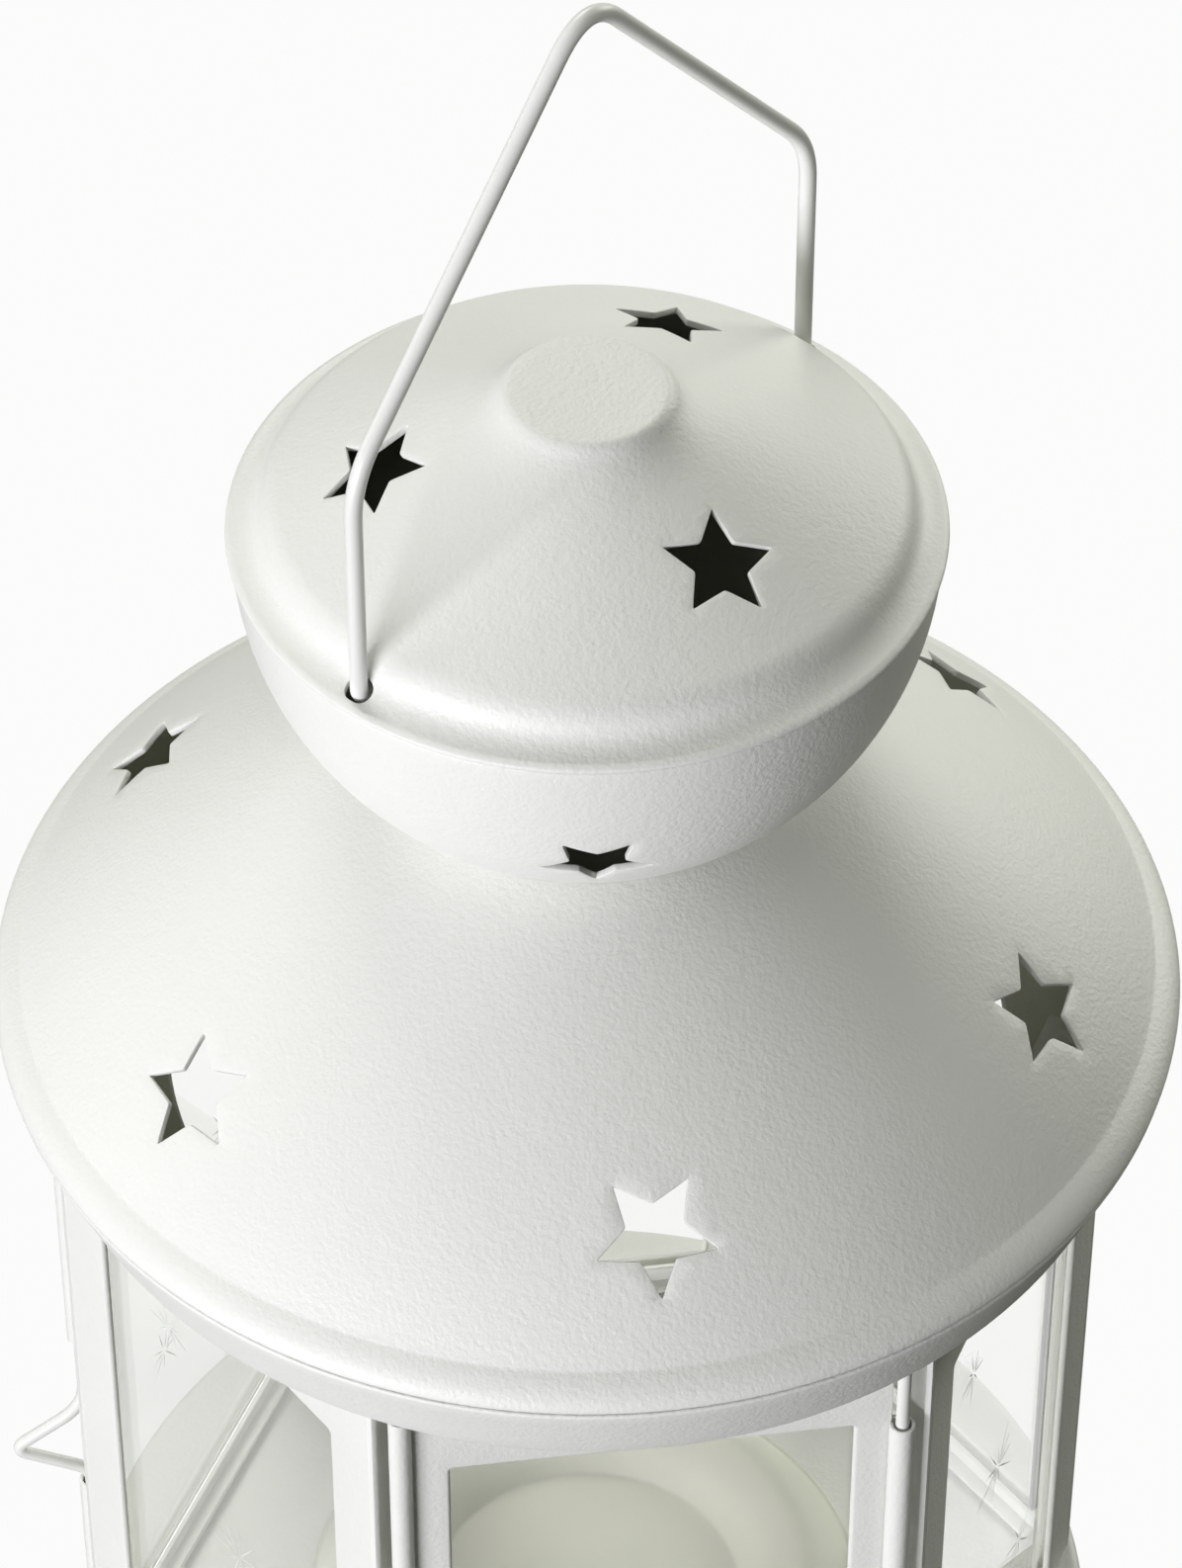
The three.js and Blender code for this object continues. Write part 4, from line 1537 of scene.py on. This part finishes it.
@dataclass(frozen=True)
class Door:
    """A glazed frame with a rolled hinge bead, rolled latch barrels and a sprung latch wire."""

    barrel_inset: float = 3.3
    latch_notch: float = 10.6
    upper_barrel: float = 38.7
    barrel_slot: Span = (14.6, 19.5)
    slot_reach: float = 3.0
    finger_gap: float = 27.3
    latch_foot: float = 7.0
    pull_reach: float = 9.65
    pull_height: float = 12.4
    pull_drop: float = 7.2
    pull_bends: tuple[float, ...] = (4.0, 2.4, 2.0)
    roll_end: float = math.radians(290)
    roll_tail: float = 1.4
    roll_steps: int = 22

    def height(self) -> Span:
        """Returns the frame's ends upwards."""
        return LEVELS.floor + PRESSING.door_gap, LEVELS.flange - PRESSING.door_gap

    @property
    def bead_x(self) -> float:
        """The hinge pin's place along the face."""
        return OPENWORK.bead_inset - HEXAGON.half_side

    @property
    def barrel_x(self) -> float:
        """The latch wire's place along the face."""
        return HEXAGON.half_side - self.barrel_inset

    @property
    def barrel_top(self) -> float:
        """The height of the upper barrel's end."""
        return LEVELS.flange - self.latch_notch

    def axis_y(self, wire_radius: float) -> float:
        """Returns the place across the face of a wire in its roll."""
        return STOCK.sheet - (wire_radius + STOCK.fit + STOCK.roll_wall) - HEXAGON.apothem

    def roll(self, x: float, wire_radius: float, side: int, z: Span) -> Shell:
        """Builds a stretch of sheet rolled forwards round a wire.

        Args:
            x: The wire's place along the face.
            wire_radius: The wire's radius.
            side: 1 where the door's plate lies to the wire's right, else -1.
            z: The roll's ends upwards.

        Returns:
            The closed shell.
        """
        radius = wire_radius + STOCK.fit + STOCK.roll_wall / 2
        middle = Vector((x, self.axis_y(wire_radius)))
        section = [middle + Vector((reach, radius)) for reach in (side * (radius + self.roll_tail), 0)]
        for i in range(1, self.roll_steps + 1):
            angle = math.pi / 2 + side * self.roll_end * i / self.roll_steps
            section.append(middle + radius * bearing(angle))
        return drawn_strip(section, STOCK.roll_wall, z)

    def barrels(self) -> list[Span]:
        """Returns the spans of the latch barrels, from the top down."""
        upper = (self.barrel_top - self.upper_barrel, self.barrel_top)
        return [upper, (LEVELS.floor + self.latch_foot, upper[0] - self.finger_gap)]

    def slot(self) -> Shell:
        """Builds the cutter of the slot in the upper barrel's back."""
        z = (self.barrel_top - self.barrel_slot[1], self.barrel_top - self.barrel_slot[0])
        back = self.axis_y(STOCK.latch_radius) + HEXAGON.apothem
        x = (self.barrel_x, self.barrel_x + self.slot_reach)
        return face_block(x, (back, back + self.slot_reach), z)

    def mesh(self) -> Mesh:
        """Builds the frame in the front face's place."""
        z = self.height()
        left = self.bead_x + STOCK.pin_radius + STOCK.fit
        right = self.barrel_x - STOCK.latch_radius - STOCK.fit
        shells = [pressed_plate((left, right), z), *frame_fittings(z)]
        shells.append(self.roll(self.bead_x, STOCK.pin_radius, 1, z))
        shells += [self.roll(self.barrel_x, STOCK.latch_radius, -1, span) for span in self.barrels()]
        return united(shells, "door_pressing", [self.slot()])

    def pin(self) -> Shell:
        """Builds the hinge pin in the front face's place."""
        reach, y = STOCK.sheet + STOCK.fit, self.axis_y(STOCK.pin_radius)
        ends = [Vector((self.bead_x, y, z)) for z in (LEVELS.floor - reach, LEVELS.flange + reach)]
        return round_wire(ends, STOCK.pin_radius, sides=16, step=8.0)

    def latch(self) -> Shell:
        """Builds the latch wire in the front face's place."""
        out = Vector((math.sin(HEXAGON.lean), -math.cos(HEXAGON.lean)))
        axis = Vector((self.barrel_x, self.axis_y(STOCK.latch_radius)))
        low = self.barrels()[1][1] + self.pull_bends[-1]
        high = low + self.pull_height
        stops = (
            (0, LEVELS.flange - STOCK.fit), (0, high), (self.pull_reach, high - self.pull_drop),
            (0, low), (0, LEVELS.floor + STOCK.fit),
        )
        points = [(axis + out * reach).to_3d() + Vector((0, 0, z)) for reach, z in stops]
        line = bent_line(points, self.pull_bends, steps=12)
        return round_wire(line, STOCK.latch_radius, sides=18, step=4.0)


@dataclass(frozen=True)
class Burst:
    """A fine starburst etched into a pane, as shares of the pane's width and height."""

    across: float
    up: float
    reach: float
    rays: int = 11
    width: float = 0.2
    proud: float = 0.02
    turn: float = 0.0
    short_ray: float = 0.62
    waver: Span = (0.18, 5.1)
    core: float = 0.5
    waist: float = 0.35

    def add_to(self, made: Shell, depth: float) -> None:
        """Adds the burst's rays on the pane's front, in the front face's frame."""
        wx, wz = PRESSING.window_x, PRESSING.window_z
        x, z = wx[0] + (wx[1] - wx[0]) * self.across, wz[0] + (wz[1] - wz[0]) * self.up
        middle = Vector((x, 0, z))
        for i in range(self.rays):
            angle = self.turn + FULL_TURN * i / self.rays
            waver = 1 + self.waver[0] * math.sin(self.waver[1] * i + self.turn)
            reach = self.reach * (1.0 if i % 2 else self.short_ray) * waver
            along = Vector((math.cos(angle), 0, math.sin(angle)))
            side = Vector((-along.z, 0, along.x)) * self.width / 2
            waist = middle + along * self.waist * reach
            corners = [middle + along * self.core, waist - side, middle + along * reach, waist + side]
            back, front = (
                [made.add_point(level(c.x, depth - HEXAGON.apothem + y, c.z)) for c in corners]
                for y in (self.proud, -self.proud)
            )
            made.add_face(back)
            made.add_face(reversed(front))
            made.bridge(front, back)


WINDOW_BURSTS = (
    Burst(0.52, 0.50, 7.0, turn=0.4),
    Burst(0.25, 0.84, 4.4, 9, turn=1.1),
    Burst(0.77, 0.20, 5.4, 9, turn=2.0),
)
DOOR_BURSTS = (
    Burst(0.34, 0.62, 7.0, turn=2.2),
    Burst(0.73, 0.37, 5.4, 9, turn=0.6),
    Burst(0.29, 0.16, 4.6, 9, turn=1.4),
)


@dataclass(frozen=True)
class Glazing:
    """The six faces of the body with their panes and etchings."""

    edge: float = 0.25

    def pane(self, frame_z: Span) -> Shell:
        """Builds a pane in the front face's place."""
        p = PRESSING
        z = (frame_z[0] + STOCK.sheet + STOCK.fit, p.window_z[1] + p.pane_lap)
        return face_block(grown(p.window_x, p.pane_lap), p.pane_depth, z, self.edge)

    def etching(self, bursts: Iterable[Burst]) -> Shell:
        """Builds a pane's starbursts in the front face's place."""
        made = Shell()
        for burst in bursts:
            burst.add_to(made, PRESSING.pane_depth[0])
        return made

    def fit(
        self,
        face: Face,
        part: str,
        shell: Shell,
        body: str,
        slot: Slot,
        finish: Finish,
        node: str | None,
    ) -> None:
        """Turns a part of a face into its place and dresses it.

        Args:
            face: The face.
            part: The part's name.
            shell: Its shell in the front face's place.
            body: The body that it rides on.
            slot: The record's slot for its finish.
            finish: Its finish.
            node: The end of its CAD node's name, if it stands for one.
        """
        name = f"{face.title}_{part}"
        mesh = shell.mesh(name, face.turn)
        place(name, mesh, body, slot, (finish,), f"{face.title}_{node}" if node else None)

    def build(self) -> None:
        """Builds every face and dresses it."""
        door, window = Door(), FixedWindow()
        pressings = {door: door.mesh(), window: window.mesh()}
        for face in Face:
            maker, bursts = (door, DOOR_BURSTS) if face.is_door else (window, WINDOW_BURSTS)
            pressing, name = pressings[maker].copy(), face.title
            pressing.transform(face.turn)
            place(f"{name}_pressing", pressing, face.body, Slot.COAT, (POWDER,), f"{name}_frame")
            self.fit(face, "pane", self.pane(maker.height()), face.body, Slot.GLASS, GLASS, "glass")
            self.fit(face, "etching", self.etching(bursts), face.body, Slot.GLASS, ETCHED, None)
            if face.is_door:
                latch = name.replace("door", "latch")
                self.fit(face, "pin", door.pin(), Body.LANTERN.value, Slot.WIRE, WIRE, "hinge_pin")
                self.fit(face, "spring", door.latch(), latch, Slot.WIRE, WIRE, "latch_wire")


# Studio


@dataclass(frozen=True)
class Lamp:
    """A soft lamp, placed by its bearing, height angle and distance from the lantern."""

    name: str
    bearing: float
    elevation: float
    distance: float
    size: Span
    power: float
    colour: Colour = (1.0, 1.0, 1.0)

    def build(self, target: Vector) -> None:
        """Adds the lamp, turned to the target."""
        elevation = math.radians(self.elevation)
        away = bearing(math.radians(self.bearing)).to_3d() * math.cos(elevation)
        away.z = math.sin(elevation)
        light = bpy.data.lights.new(self.name, "AREA")
        light.shape = "RECTANGLE"
        light.size, light.size_y = self.size
        light.energy, light.color = self.power, self.colour
        lamp = bpy.data.objects.new(self.name, light)
        lamp.location = target + away * self.distance
        lamp.rotation_mode = "QUATERNION"
        lamp.rotation_quaternion = away.to_track_quat("Z", "Y")
        bpy.context.scene.collection.objects.link(lamp)


@dataclass(frozen=True)
class Studio:
    """A pale floor, soft light from the left and from the back right, and the photograph's camera."""

    eye: tuple[float, float, float] = (-71.7, -524.4, 667.2)
    target: tuple[float, float, float] = (0.0, 0.0, 153.0)
    lens: float = 147.1
    sensor: float = 36.0
    shift: Span = (0.0024, 0.0)
    clip: Span = (0.01, 100.0)
    floor_size: float = 30.0
    ground: Colour = (0.07, 0.07, 0.055)
    ground_roughness: float = 0.9
    backdrop: Colour = (0.965, 0.967, 0.96)
    ambient: float = 0.055
    ambient_tint: Colour = (0.98, 1.0, 0.82)
    lamps: tuple[Lamp, ...] = (
        Lamp("key_lamp", -135, 5, 1.4, (0.9, 0.4), 21.3, (1.0, 0.995, 1.04)),
        Lamp("side_lamp", 34, 17, 1.4, (0.8, 0.5), 8.0, (0.985, 1.0, 0.93)),
        Lamp("rear_lamp", 97, 42, 1.4, (0.7, 0.7), 11.5, (1.0, 1.0, 0.97)),
        Lamp("high_lamp", 170, 14, 1.4, (0.6, 0.6), 2.2),
        Lamp("top_lamp", -60, 84, 1.4, (1.0, 1.0), 3.5, (0.98, 1.0, 0.93)),
    )

    def floor(self) -> None:
        """Adds the floor, which the camera sees as the backdrop."""
        low, high = around(0, self.floor_size / 2)
        corners = [(low, low, 0), (high, low, 0), (high, high, 0), (low, high, 0)]
        mesh = bpy.data.meshes.new("floor")
        mesh.from_pydata(corners, [], [(0, 1, 2, 3)])
        floor = bpy.data.objects.new("floor", mesh)
        bpy.context.scene.collection.objects.link(floor)
        inputs = {"Base Color": shaded(self.ground), "Roughness": self.ground_roughness}
        made, tree, shader = principled("pale_floor", inputs)
        glow = add_node(tree, "ShaderNodeEmission", {"Color": shaded(self.backdrop)})
        end = tree.nodes["Material Output"]
        split_rays(tree, SEEN_RAYS, glow.outputs["Emission"], shader.outputs["BSDF"], end)
        mesh.materials.append(made)

    def sky(self) -> None:
        """Sets the world's even light, which the camera sees as the backdrop."""
        world = bpy.data.worlds.new("studio")
        world.use_nodes = True
        tree = world.node_tree
        lit = tree.nodes["Background"]
        fill(tree, lit, {"Color": shaded(self.ambient_tint), "Strength": self.ambient})
        seen = add_node(tree, "ShaderNodeBackground", {"Color": shaded(self.backdrop)})
        end = tree.nodes["World Output"]
        split_rays(tree, SEEN_RAYS, seen.outputs["Background"], lit.outputs["Background"], end)
        bpy.context.scene.world = world

    def camera(self) -> None:
        """Adds the camera at the photograph's angle."""
        data = bpy.data.cameras.new("camera")
        data.lens, data.sensor_width = self.lens, self.sensor
        data.shift_x, data.shift_y = self.shift
        data.clip_start, data.clip_end = self.clip
        camera = bpy.data.objects.new("camera", data)
        eye, target = Vector(self.eye) * MM, Vector(self.target) * MM
        camera.location = eye
        camera.rotation_mode = "QUATERNION"
        camera.rotation_quaternion = (target - eye).to_track_quat("-Z", "Y")
        scene = bpy.context.scene
        scene.collection.objects.link(camera)
        scene.camera = camera
        scene.view_settings.view_transform = "Standard"

    def build(self) -> None:
        """Adds the floor, the light and the camera."""
        self.floor()
        self.sky()
        self.camera()
        for lamp in self.lamps:
            lamp.build(Vector(self.target) * MM)


def main() -> None:
    logging.basicConfig(level=logging.INFO, format="%(name)s: %(message)s")
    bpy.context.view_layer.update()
    Studio().build()
    Foot().build()
    Roof().build()
    Cap().build()
    BailHandle().build()
    Glazing().build()


if __name__ == "__main__":
    main()
